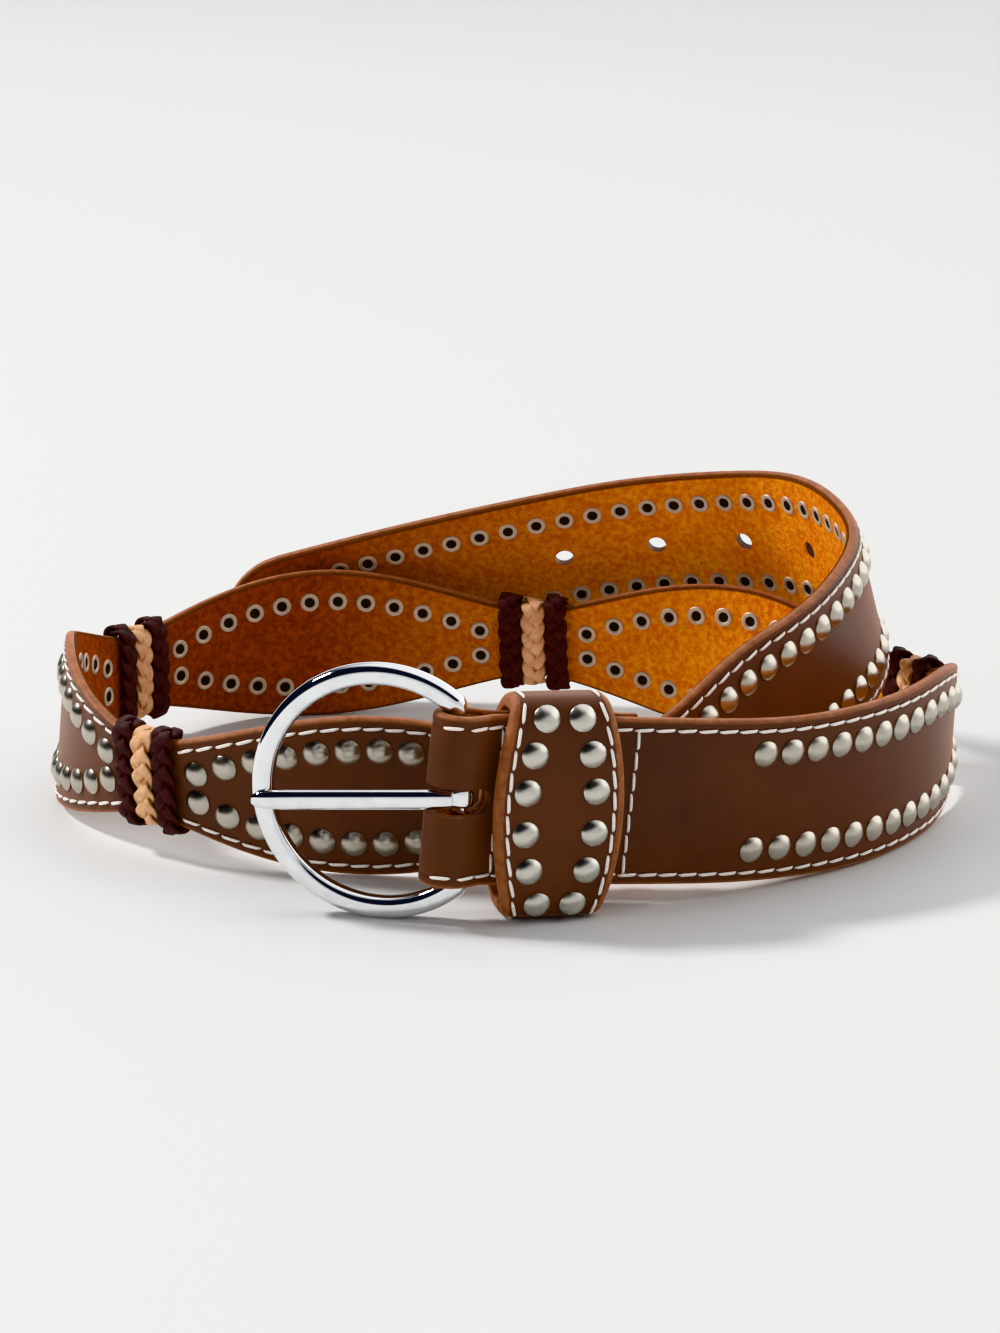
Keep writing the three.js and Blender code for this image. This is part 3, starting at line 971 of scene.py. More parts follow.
@dataclass(frozen=True)
class BrownLeather:
    """Waxed chestnut leather with lighter burnished edges."""

    dark: tuple = srgb(76, 42, 24)
    light: tuple = srgb(100, 56, 33)
    edge: tuple = srgb(172, 112, 76)
    edge_dark: tuple = srgb(120, 70, 44)
    sheen: tuple = srgb(255, 196, 162)
    roughness: tuple[float, float] = (0.38, 0.5)

    def material(self) -> bpy.types.Material:
        """Two blotched browns, the edge colour by the rim mask, and fine grain as bump."""
        made, shader, where = new_material("brown_leather")
        tree = made.node_tree
        broad = EFFECTS.mottled(tree, where, 38.0)
        fine = EFFECTS.mottled(tree, where, 420.0, 1.6)
        face = blend(tree, broad, self.dark, self.light)
        edge = blend(tree, fine, self.edge_dark, self.edge)
        rim = rim_mask(tree)
        ragged = maths(tree, "ADD", rim, spread(tree, fine, -0.18, 0.18))
        worn = maths(tree, "MULTIPLY", ragged, rim, clamp=True)
        plain = spread(tree, broad, *self.roughness)
        grain = EFFECTS.place(tree, EFFECTS.grain(), {"Vector": where, "Scale": 1300.0})
        looks = {
            "Base Color": blend(tree, worn, face, edge),
            "Roughness": maths(tree, "ADD", plain, maths(tree, "MULTIPLY", worn, 0.2)),
            "Normal": bump(tree, grain, 0.22, 0.00012),
            "Specular IOR Level": 0.38,
            "Sheen Weight": 0.6,
            "Sheen Roughness": 0.32,
            "Sheen Tint": self.sheen,
        }
        feed(tree, shader, looks)
        return made


@dataclass(frozen=True)
class OrangeSuede:
    """The napped lining: rust in painted shade on the left, orange in painted light on the right."""

    # Painted shade and painted light: the first two colours are the rust of the left end in painted shade, the next
    # two the orange of the right end in painted light, each pair blotched at random.
    shade_dark: tuple = srgb(112, 36, 12)
    shade_pale: tuple = srgb(172, 70, 20)
    lit_dark: tuple = srgb(218, 92, 18)
    lit_pale: tuple = srgb(255, 168, 54)
    edge: tuple = srgb(104, 54, 30)
    # Span of x, in metres, over which the painted shade on the left turns into the painted light on the right.
    reach: tuple[float, float] = (-0.05, 0.045)

    def material(self) -> bpy.types.Material:
        """Blotches of two sizes between both colours of each end, blended along x from the painted shade on the left
        to the painted light on the right, over a rough, bumpy nap.
        """
        made, shader, where = new_material("orange_suede")
        tree = made.node_tree
        broad = EFFECTS.mottled(tree, where, 70.0, 1.6)
        nap = EFFECTS.mottled(tree, where, 620.0, 4.5)
        both = maths(tree, "ADD", maths(tree, "MULTIPLY", broad, 0.35), spread(tree, nap, 0, 0.65))
        # The blotched rust in painted shade, then the blotched orange in painted light.
        flat = blend(tree, both, self.shade_dark, self.shade_pale)
        lit_suede = blend(tree, both, self.lit_dark, self.lit_pale)
        # Painted light: a share that runs along x from 0 on the left to 1 on the right, blending the painted shade
        # into the painted light.
        across = node(tree, "SeparateXYZ", {0: where}).outputs["X"]
        limits = {"From Min": self.reach[0], "From Max": self.reach[1]}
        painted_light_share = node(tree, "MapRange", {"Value": across, **limits}).outputs[0]
        face = blend(tree, painted_light_share, flat, lit_suede)
        fibre = node(tree, "TexNoise", {"Vector": where, "Scale": 2400.0, "Detail": 4.0})
        height = maths(tree, "ADD", maths(tree, "MULTIPLY", nap, 0.8), fibre.outputs["Fac"])
        looks = {
            "Base Color": blend(tree, rim_mask(tree), face, self.edge),
            "Roughness": 0.95,
            "Normal": bump(tree, height, 0.8, 0.0006),
            "Specular IOR Level": 0.15,
            "Sheen Weight": 0.15,
            "Sheen Roughness": 0.5,
            "Sheen Tint": self.lit_pale,
        }
        feed(tree, shader, looks)
        return made


@dataclass(frozen=True)
class Metal:
    """A plated metal, from mirror chrome to satin nickel."""

    name: str
    colour: tuple
    roughness: tuple[float, float]
    scratch: float
    metallic: float = 1.0
    shade: float = 0.86

    def material(self) -> bpy.types.Material:
        """A metal whose roughness is blotched, with fine scratches as bump."""
        made, shader, where = new_material(self.name)
        tree = made.node_tree
        smudge = EFFECTS.mottled(tree, where, 260.0, 2.4)
        fine = node(tree, "TexNoise", {"Vector": where, "Scale": 1900.0, "Detail": 2.0})
        looks = {
            "Base Color": blend(tree, smudge, shaded(self.colour, self.shade), self.colour),
            "Roughness": spread(tree, smudge, *self.roughness),
            "Normal": bump(tree, fine.outputs["Fac"], self.scratch, 0.0001),
            "Metallic": self.metallic,
        }
        feed(tree, shader, looks)
        return made


@dataclass(frozen=True)
class Lace:
    """Matt leather lace of the braided cords."""

    name: str
    dark: tuple
    light: tuple

    def material(self) -> bpy.types.Material:
        """Blotched colour, with the fibres and pores of the lace as bump."""
        made, shader, where = new_material(self.name)
        tree = made.node_tree
        blotch = EFFECTS.mottled(tree, where, 480.0, 2.2)
        pores = {"Vector": where, "Scale": 2100.0, "Fine": 0.8}
        grain = EFFECTS.place(tree, EFFECTS.grain(), pores)
        looks = {
            "Base Color": blend(tree, blotch, self.dark, self.light),
            "Roughness": spread(tree, blotch, 0.55, 0.72),
            "Normal": bump(tree, grain, 0.5, 0.0002),
            "Specular IOR Level": 0.35,
        }
        feed(tree, shader, looks)
        return made


@dataclass(frozen=True)
class WaxedThread:
    """Cream thread with its twist."""

    dark: tuple = srgb(248, 234, 224)
    light: tuple = srgb(255, 253, 248)

    def material(self) -> bpy.types.Material:
        """Two creams by fine noise, which is also the bump of the twist."""
        made, shader, where = new_material("cream_thread")
        tree = made.node_tree
        twist = EFFECTS.mottled(tree, where, 1500.0, 2.4)
        looks = {
            "Base Color": blend(tree, twist, self.dark, self.light),
            "Roughness": 0.6,
            "Normal": bump(tree, twist, 0.5, 0.0002),
        }
        feed(tree, shader, looks)
        return made


@dataclass(frozen=True)
class DarkBore:
    """Painted shade for the inside of a rivet: near black on a flat disc where the hollow lies in shadow."""

    # Painted shade: near black standing in for the shadow down the rivet's hollow; the lighter blotches are dirt.
    colour: tuple = srgb(14, 11, 10)
    dirt: tuple = srgb(34, 26, 20)

    def material(self) -> bpy.types.Material:
        """A near black, rough surface of painted shade with faint dirt."""
        made, shader, where = new_material("rivet_bore_painted_shade")
        tree = made.node_tree
        dirt = EFFECTS.mottled(tree, where, 900.0)
        colour = blend(tree, dirt, self.colour, self.dirt)
        feed(tree, shader, {"Base Color": colour, "Roughness": 0.85})
        return made


class Finishes:
    """Every material of the belt, made once."""

    def __init__(self) -> None:
        """Builds the materials."""
        nickel = srgb(198, 191, 178)
        self.leather = BrownLeather().material()
        self.suede = OrangeSuede().material()
        self.studs = Metal("satin_nickel", nickel, (0.27, 0.35), 0.12).material()
        bright = srgb(208, 204, 194)
        self.bright_studs = Metal("polished_nickel", bright, (0.25, 0.33), 0.06).material()
        eyelet = srgb(212, 194, 172)
        self.rivets = Metal("rivet_end", eyelet, (0.42, 0.55), 0.2, 0.45).material()
        self.chrome = Metal("chrome", srgb(238, 239, 241), (0.03, 0.07), 0.0).material()
        self.thread = WaxedThread().material()
        self.bore = DarkBore().material()
        self.dark_cord = Lace("dark_lace", srgb(44, 19, 20), srgb(74, 36, 35)).material()
        self.tan_cord = Lace("tan_lace", srgb(208, 150, 108), srgb(240, 196, 152)).material()


# Sub-assemblies


@dataclass
class StuddedRun:
    """One run of leather with everything fixed to it.

    Args:
        name: start of its pieces' names.
        node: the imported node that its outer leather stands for.
        strip: the line that it follows.
        studs: rows of a stud's distance along and height.
        seam: first and last distance of the stitches along its edges.
        cross: distances of the seams across the width, with how far they reach.
    """

    name: str
    node: str
    strip: Strip
    studs: Array
    seam: tuple[float, float]
    cross: tuple[tuple[float, float], ...] = ()

    def build(self, finishes: Finishes) -> dict[str, bpy.types.Object]:
        """Builds and dresses its leather, lining, studs, rivet ends and stitches."""
        s, v = self.studs.T
        domes = self.strip.places(s, v, OUTER.face)
        ends = facing_in(self.strip.places(s, v, LINING.back))
        return {
            "leather": make_piece(
                f"{self.name}_leather",
                self.strip.leather(OUTER),
                [finishes.leather],
                Slot.LEATHER,
                stands_for=(self.node,),
            ),
            "lining": make_piece(
                f"{self.name}_lining",
                self.strip.leather(LINING),
                [finishes.suede],
                Slot.SUEDE,
            ),
            "studs": make_piece(
                f"{self.name}_studs", domes.copies(STUD.dome()), [finishes.studs], Slot.STUDS
            ),
            "rivets": make_piece(
                f"{self.name}_rivets",
                ends.copies(STUD.back()),
                [finishes.rivets, finishes.bore],
                Slot.STUDS,
            ),
            "stitches": make_piece(
                f"{self.name}_stitches", self.stitches(), [finishes.thread], Slot.THREAD
            ),
        }

    def stitches(self) -> Surface:
        """The stitches of both edges and of the seams across."""
        rows = [edge_stitches(self.strip, *self.seam, side) for side in (1, -1)]
        rows += [cross_stitches(self.strip, at, reach, OUTER.face) for at, reach in self.cross]
        return merged([places.copies(STITCH.shape()) for places in rows])


def stud_rows(first: float, heights: Array) -> Array:
    """Pairs of studs from a first distance on, above and below the middle at each height."""
    s = first + WIDTHS.stud_pitch * np.arange(len(heights))
    return np.column_stack([np.tile(s, 2), np.concatenate([heights, -heights])])


def cut(piece: bpy.types.Object, cutters: list[Surface]) -> None:
    """Cuts openings right through a piece and marks their edges as sharp.

    Args:
        piece: the piece to cut.
        cutters: closed surfaces of what is taken away.
    """
    tool = merged([Surface(c.points, c.faces, {"rim": np.ones(len(c.points))}) for c in cutters])
    mesh = bpy.data.meshes.new("cutter")
    mesh.from_pydata((tool.points * MM).tolist(), [], tool.faces)
    mesh.attributes.new("rim", "FLOAT", "POINT").data.foreach_set(
        "value", tool.masks["rim"].astype(np.float32)
    )
    cutter = bpy.data.objects.new("cutter", mesh)
    bpy.context.scene.collection.objects.link(cutter)
    modifier = piece.modifiers.new("cut", "BOOLEAN")
    modifier.operation = "DIFFERENCE"
    modifier.solver = "EXACT"
    modifier.object = cutter
    bpy.context.view_layer.update()
    seen = piece.evaluated_get(bpy.context.evaluated_depsgraph_get())
    result = bpy.data.meshes.new_from_object(seen)
    piece.modifiers.clear()
    plain = piece.data
    piece.data = result
    result.set_sharp_from_angle(angle=math.radians(50))
    bpy.data.meshes.remove(plain)
    bpy.data.objects.remove(cutter)
    bpy.data.meshes.remove(mesh)
    LOG.info("%s: %d faces after cutting", piece.name, len(result.polygons))


@dataclass(frozen=True)
class BuckleEnd:
    """The strap that folds round the bar, doubled and sewn, with a slot for the prong.

    Args:
        shift: distance at which the fold's half circle starts and ends.
        radius: radius of that half circle.
        behind: how far the bar lies behind the strap's middle.
        pinch: distance at which both layers have come together.
        tail: distance that the piece folded back reaches.
        doubled: how far that piece lies behind the strap's middle.
        end: distance of the strap's other end.
        studs: number of studs in a row.
        seam_start: distance at which the edge stitches start.
        cross: distances of the seams across, with how far they reach.
        slot: distances of the slot's two ends.
        slot_half: half the width of the slot.
        slot_deep: depths between which the slot is cut.
    """

    shift: float = -1.2
    radius: float = 4.8
    behind: float = 1.65
    pinch: float = 8.0
    tail: float = 41.0
    doubled: float = 3.05
    end: float = 191.85
    studs: int = 15
    seam_start: float = -7.0
    cross: tuple[tuple[float, float], ...] = ((8.2, 17.0), (40.5, 17.4))
    slot: tuple[float, float] = (-9.0, 6.7)
    slot_half: float = 3.3
    slot_deep: tuple[float, float] = (-9.6, 6.4)

    def line(self) -> tuple[Array, Array]:
        """Distances and depths from the tail's end, back round the bar and on along the front.

        Both layers leave the pinch as (1 + cos(pi (s - shift) / (pinch - shift))) / 2, and a half
        circle of the fold's radius round the bar joins them.
        """

        def ease(s: Array) -> Array:
            """1 at the bar and 0 at the pinch."""
            return (1 + np.cos(np.pi * (s - self.shift) / (self.pinch - self.shift))) / 2

        front = self.radius - self.behind
        back = -self.radius - self.behind
        tail = np.arange(self.tail, self.pinch, -1.5)
        going = np.linspace(self.pinch, self.shift, 10)[:-1]
        turn = np.radians(np.linspace(270, 90, 19))
        coming = np.linspace(self.shift, self.pinch, 10)[1:]
        ahead = np.linspace(self.pinch, self.end, 123)[1:]
        s = np.concatenate([tail, going, self.shift + self.radius * np.cos(turn), coming, ahead])
        depth = np.concatenate(
            [
                tail * 0 - self.doubled,
                -self.doubled + (back + self.doubled) * ease(going),
                -self.behind + self.radius * np.sin(turn),
                front * ease(coming),
                ahead * 0,
            ]
        )
        return s, depth

    def strip(self) -> Strip:
        """The line as a strip whose outer face is always on the left of its way in plan."""
        s, depth = self.line()
        forward, up, out = ROUTE.axes(s)
        run, rise = np.gradient(s), np.gradient(depth)
        size = np.hypot(run, rise)
        normal = forward * (-rise / size)[:, None] + out * (run / size)[:, None]
        length = np.concatenate([[0], np.cumsum(np.hypot(np.diff(s), np.diff(depth)))])
        along = length - length[-1] + self.end
        middle = ROUTE.middle(s) + depth[:, None] * out
        return Strip(along, middle, up, normal, WIDTHS.half(s))

    def slot_tool(self) -> Surface:
        """What is cut away for the prong: a bar with rounded ends through both layers."""
        left, right = self.slot
        turn = np.radians(np.linspace(-90, 90, 9))
        ends = [right - self.slot_half + self.slot_half * np.cos(turn), np.full(2, left)]
        s = np.concatenate(ends)
        v = np.concatenate([self.slot_half * np.sin(turn), [self.slot_half, -self.slot_half]])
        _, up, out = ROUTE.axes(s)
        flat = ROUTE.middle(s) + v[:, None] * up
        rings = np.stack([flat + depth * out for depth in self.slot_deep])
        return closed_loft(rings)

    def build(self, finishes: Finishes) -> None:
        """Builds the strap and cuts the slot."""
        last = WIDTHS.first_wrap - WIDTHS.first_stud
        first = last - (self.studs - 1) * WIDTHS.stud_pitch
        run = StuddedRun(
            "buckle_end",
            "buckle_strap",
            self.strip(),
            stud_rows(first, WIDTHS.end_row(self.studs)[::-1]),
            (self.seam_start, WIDTHS.first_wrap - WIDTHS.seam_gap),
            self.cross,
        )
        made = run.build(finishes)
        for part in ("leather", "lining"):
            cut(made[part], [self.slot_tool()])


@dataclass(frozen=True)
class Panel:
    """One of the four swelling panels between the wraps."""

    number: int

    def build(self, finishes: Finishes) -> None:
        """Builds the panel."""
        start = WIDTHS.wrap_at(self.number)
        end = start + WIDTHS.link
        StuddedRun(
            f"panel_{self.number}",
            f"panel_{self.number}",
            route_strip(start + WIDTHS.joint, end - WIDTHS.joint),
            stud_rows(start + WIDTHS.first_stud, WIDTHS.panel_row()),
            (start + WIDTHS.seam_gap, end - WIDTHS.seam_gap),
        ).build(finishes)


@dataclass(frozen=True)
class TipStrap:
    """The long free end with its punched holes.

    Args:
        studs: number of studs in a row.
        holes: number of holes.
        first_hole: distance of the first hole.
        hole_pitch: distance from one hole to the next.
        hole_radius: radius of a hole.
        hole_deep: how far to both sides of the strap's middle a hole is cut.
        hole_sides: number of points round a hole.
        tip_steps: number of stations on the rounded tip, counted with both of its ends.
        seam_end: distance from the tip at which the edge stitches end.
    """

    studs: int = 40
    holes: int = 5
    first_hole: float = 770.0
    hole_pitch: float = 25.0
    hole_radius: float = 2.5
    hole_deep: float = 3.0
    hole_sides: int = 28
    tip_steps: int = 24
    seam_end: float = 9.0

    def hole_tools(self) -> list[Surface]:
        """A round bar through the leather for each hole."""
        turn = 2 * np.pi * np.arange(self.hole_sides) / self.hole_sides
        tools = []
        for at in self.first_hole + self.hole_pitch * np.arange(self.holes):
            s = at + self.hole_radius * np.cos(turn)
            _, up, out = ROUTE.axes(s)
            flat = ROUTE.middle(s) + (self.hole_radius * np.sin(turn))[:, None] * up
            rings = [flat + side * self.hole_deep * out for side in (-1, 1)]
            tools.append(closed_loft(np.stack(rings)))
        return tools

    def build(self, finishes: Finishes) -> None:
        """Builds the strap and punches its holes."""
        start = WIDTHS.wrap_at(WIDTHS.panels + 1)
        plain = route_strip(start + WIDTHS.joint, ROUTE.end - WIDTHS.tip_round)
        share = np.linspace(0, 1, self.tip_steps)[1:-1] ** 0.5
        tip = ROUTE.end - WIDTHS.tip_round * (1 - share)
        s = np.concatenate([plain.along, tip])
        _, up, out = ROUTE.axes(s)
        run = StuddedRun(
            "tip_strap",
            "tip_strap",
            Strip(s, ROUTE.middle(s), up, out, WIDTHS.half(s)),
            stud_rows(start + WIDTHS.first_stud, WIDTHS.end_row(self.studs)),
            (start + WIDTHS.seam_gap, ROUTE.end - self.seam_end),
        )
        made = run.build(finishes)
        for part in ("leather", "lining"):
            cut(made[part], self.hole_tools())


@dataclass(frozen=True)
class Keeper:
    """The barrel-shaped loop round the doubled leather, with twelve polished studs.

    Args:
        at: its distance along the belt.
        shift: how far its middle lies out from the strap's.
        turn: how far it turns in plan from the strap's way, in degrees.
        roll: how far it leans along the strap, in degrees.
        lift: how far its foot is off the floor.
        high: half its outer height.
        deep: half its outer depth.
        thick: thickness of its leather.
        square: power of the superellipse that it follows.
        middle_half: half its width halfway up.
        end_half: half its width at the top and the foot.
        studs: height and offset of one stud of each four.
        steps: number of stations round it.
        seam: how far round from the middle of the face its stitches run.
    """

    at: float = 22.0
    shift: float = -0.6
    turn: float = -2.0
    roll: float = 3.0
    lift: float = 0.35
    high: float = 26.0
    deep: float = 8.2
    thick: float = 3.3
    square: float = 4.0
    middle_half: float = 15.2
    end_half: float = 11.0
    studs: tuple[tuple[float, float], ...] = ((4.9, 8.1), (13.6, 6.8), (21.8, 4.2))
    steps: int = 160
    seam: float = 30.0

    def outline(self, depth: float) -> tuple[Array, Array]:
        """Points up and out of the superellipse (up / a)^n + (out / b)^n = 1, evenly spaced.

        Its halves are a = high - depth and b = deep - depth.
        """
        turn = np.linspace(0, 2 * np.pi, 4001)
        power = 2 / self.square
        up = (self.high - depth) * squared(np.sin(turn), power)
        out = (self.deep - depth) * squared(np.cos(turn), power)
        return evenly(up, out, self.steps)

    def axes(self) -> tuple[Array, Array, Array, Array]:
        """Its middle, and its ways along the strap, up and out to the front."""
        forward, _, out = ROUTE.axes(np.array([self.at]))
        middle = ROUTE.middle(np.array([self.at]))[0] + self.shift * out[0]
        middle[2] = self.high + self.lift
        angle = math.atan2(forward[0, 1], forward[0, 0]) + math.radians(self.turn)
        level = np.array([math.cos(angle), math.sin(angle), 0])
        front = np.array([level[1], -level[0], 0])
        roll = math.radians(self.roll)
        rise = np.array([0, 0, 1]) * math.cos(roll) + level * math.sin(roll)
        return middle, np.cross(rise, front), rise, front

    def strip(self) -> Strip:
        """The loop as a joined strip whose width lies along the strap.

        Half its width is middle_half - (middle_half - end_half) (up / high)^2.
        """
        middle, ahead, rise, front = self.axes()
        up, out = self.outline(self.thick / 2)
        line = middle + up[:, None] * rise + out[:, None] * front
        across = np.broadcast_to(-ahead, line.shape)
        spread_out = np.cross(ways(line), across)
        gap = np.linalg.norm(np.roll(line, -1, axis=0) - line, axis=-1)
        along = np.concatenate([[0], np.cumsum(gap)[:-1]])
        drop = self.middle_half - self.end_half
        half = self.middle_half - drop * (up / self.high) ** 2
        return Strip(along, line, across, spread_out, half, joined=True)

    def row(self, heights: Array, offset: Array) -> Places:
        """Places on the outer face, deep (1 - (height / high)^n)^(1 / n) out from its middle.

        Args:
            heights: height of each place from the loop's middle.
            offset: how far each lies along the strap from the loop's middle.
        """
        middle, ahead, rise, front = self.axes()
        part = np.abs(heights) / self.high
        n = self.square
        face = self.deep * (1 - part**n) ** (1 / n)
        slope = (self.deep / self.high) * part ** (n - 1) * (self.deep / face) ** (n - 1)
        tilt = np.arctan(slope) * np.sign(heights)
        up = np.cos(tilt)[:, None] * rise - np.sin(tilt)[:, None] * front
        out = np.cos(tilt)[:, None] * front + np.sin(tilt)[:, None] * rise
        origin = middle + offset[:, None] * ahead + heights[:, None] * rise + face[:, None] * front
        return Places(origin, np.broadcast_to(ahead, up.shape), up, out)

    def stitches(self) -> Surface:
        """Stitches along both edges, over the face and round onto the top and the foot."""
        loop = self.strip()
        rows = [edge_stitches(loop, -self.seam, self.seam, side, LOOP) for side in (1, -1)]
        return merged([places.copies(STITCH.shape()) for places in rows])

    def build(self, finishes: Finishes) -> None:
        """Builds the loop, its studs and its stitches."""
        make_piece(
            "keeper_leather",
            self.strip().leather(LOOP),
            [finishes.leather],
            Slot.LEATHER,
            stands_for=("keeper_loop",),
        )
        spots = np.array([[a * u, b * v] for u, v in self.studs for a in (1, -1) for b in (1, -1)])
        domes = self.row(spots[:, 0], spots[:, 1])
        make_piece(
            "keeper_studs", domes.copies(STUD.dome()), [finishes.bright_studs], Slot.STUDS
        )
        make_piece("keeper_stitches", self.stitches(), [finishes.thread], Slot.THREAD)


@dataclass(frozen=True)
class RingBuckle:
    """The round ring with its bar, and the prong that swings on the bar.

    Args:
        behind: how far the bar lies behind the strap's middle.
        height: height of the bar's middle.
        turn: how far the ring turns back from the picture plane, in degrees.
        radius: radius of the ring to the middle of its wire.
        wire: half the thickness of the wire.
        bar: distance from the bar to the ring's middle.
        bar_radius: half the thickness of the bar.
        bar_reach: share of the bar's half length that is straight.
        corner: angle that the arc leaves free beside each corner, in radians.
        gap: play between the prong and the metal that it touches.
        squareness: power of the wire's squared outline.
        prong_half: half the width of the prong.
        prong_thick: thickness of its shank.
        eye_half: half the thickness of its eye.
        eye_power: power of the eye's squared outline, lower for squarer.
        droop: slope that the shank sinks by.
    """

    behind: float = 1.65
    height: float = 30.0
    turn: float = 12.0
    radius: float = 27.5
    wire: float = 2.5
    bar: float = 17.9
    bar_radius: float = 2.2
    bar_reach: float = 0.95
    corner: float = 0.03
    gap: float = 0.3
    squareness: float = 2.8
    prong_half: float = 2.2
    prong_thick: float = 2.4
    eye_half: float = 0.75
    eye_power: float = 0.6
    droop: float = 0.062

    def place(self, along: Array, up: Array, out: Array) -> Array:
        """Points from the bar toward the ring's middle, up the bar and out to the front."""
        zero = np.array([0.0])
        middle = (ROUTE.middle(zero) - self.behind * ROUTE.axes(zero)[2])[0]
        middle[2] = self.height
        angle = math.radians(self.turn)
        way = np.array([-math.cos(angle), math.sin(angle), 0])
        front = np.array([-math.sin(angle), -math.cos(angle), 0])
        rise = np.array([0, 0, 1])
        return middle + along[..., None] * way + up[..., None] * rise + out[..., None] * front

    def rod(self) -> Surface:
        """The rod: an arc closed by the bar through a curve at both corners.

        Across it runs the squared circle |side|^n + |out|^n = radius^n.
        """
        opening = math.acos(self.bar / self.radius)
        chord = self.radius * math.sin(opening)
        start = opening + self.corner
        a = np.linspace(start, 2 * np.pi - start, 160)
        arc = np.stack([self.bar - self.radius * np.cos(a), self.radius * np.sin(a)], axis=-1)
        t = np.linspace(0, 1, 8)[1:-1, None]

        def bend(start: Array, end: Array, sign: float) -> Array:
            """The curve start (1 - t)^2 + 2 sharp t (1 - t) + end t^2 at a sharp corner."""
            sharp = np.array([0, sign * chord])
            return start * (1 - t) ** 2 + 2 * sharp * t * (1 - t) + end * t**2

        bar = np.linspace(-self.bar_reach, self.bar_reach, 9)[:, None] * [[0, chord]]
        line = np.vstack([arc, bend(arc[-1:], bar[:1], -1.0), bar, bend(bar[-1:], arc[:1], 1.0)])
        way = ways(line)
        radius = np.full(len(line), self.wire)
        radius[len(arc) :] = self.bar_radius
        radius[len(arc) : len(arc) + len(t)] = np.linspace(self.wire, self.bar_radius, len(t))
        radius[-len(t) :] = np.linspace(self.bar_radius, self.wire, len(t))
        b = 2 * np.pi * (np.arange(40) + 0.5) / 40
        power = 2 / self.squareness
        side = radius[:, None] * squared(np.cos(b), power)
        along = line[:, :1] + way[:, 1:] * side
        up = line[:, 1:] - way[:, :1] * side
        out = radius[:, None] * squared(np.sin(b), power)
        return closed_loft(self.place(along, up, out)[:, ::-1], joined=True)

    def eye(self) -> Surface:
        """The prong's eye, a rounded band round the bar."""
        middle = self.bar_radius + self.gap + self.eye_half
        a = 2 * np.pi * np.arange(32)[:, None] / 32
        b = 2 * np.pi * np.arange(16)[None] / 16
        tall = self.prong_half * squared(np.sin(b), self.eye_power)
        radius = middle + self.eye_half * squared(np.cos(b), self.eye_power)
        up = np.broadcast_to(tall, radius.shape) + 0 * a
        return closed_loft(self.place(radius * np.cos(a), up, radius * np.sin(a)), joined=True)

    def shank(self) -> Surface:
        """The bevelled shank, which rests on the ring and narrows over its last stretch."""
        back = self.wire + self.gap
        end = self.bar + self.radius + self.wire - 0.6
        along = np.array([0.4, 2, 8, 16, 24, 32, end - 8, end - 5, end - 2.4, end - 0.9, end])
        half = self.prong_half * np.array([0.9, 1, 1, 1, 1, 1, 1, 0.95, 0.87, 0.74, 0.45])
        face = back + self.prong_thick * np.array([0.9, 1, 1, 1, 1, 1, 1, 0.94, 0.83, 0.7, 0.5])
        shape = np.array(
            [
                [-1, 0.15], [-1, 0.6], [-0.93, 0.72], [-0.58, 0.97], [-0.5, 1], [0.5, 1],
                [0.58, 0.97], [0.93, 0.72], [1, 0.6], [1, 0.15], [0.85, 0], [-0.85, 0],
            ]
        )
        up = half[:, None] * shape[None, :, 0] - self.droop * along[:, None]
        out = back + (face - back)[:, None] * shape[None, :, 1]
        rings = self.place(np.broadcast_to(along[:, None], up.shape), up, out)
        return closed_loft(rings[:, ::-1])

    def build(self, finishes: Finishes) -> None:
        """Builds the ring and the prong."""
        make_piece(
            "ring", self.rod(), [finishes.chrome], Slot.CHROME, stands_for=("buckle_ring",)
        )
        prong = make_piece(
            "prong",
            merged([self.eye(), self.shank()]),
            [finishes.chrome],
            Slot.CHROME,
            Body.PRONG,
            ("buckle_prong",),
        )
        prong.data.set_sharp_from_angle(angle=math.radians(38))


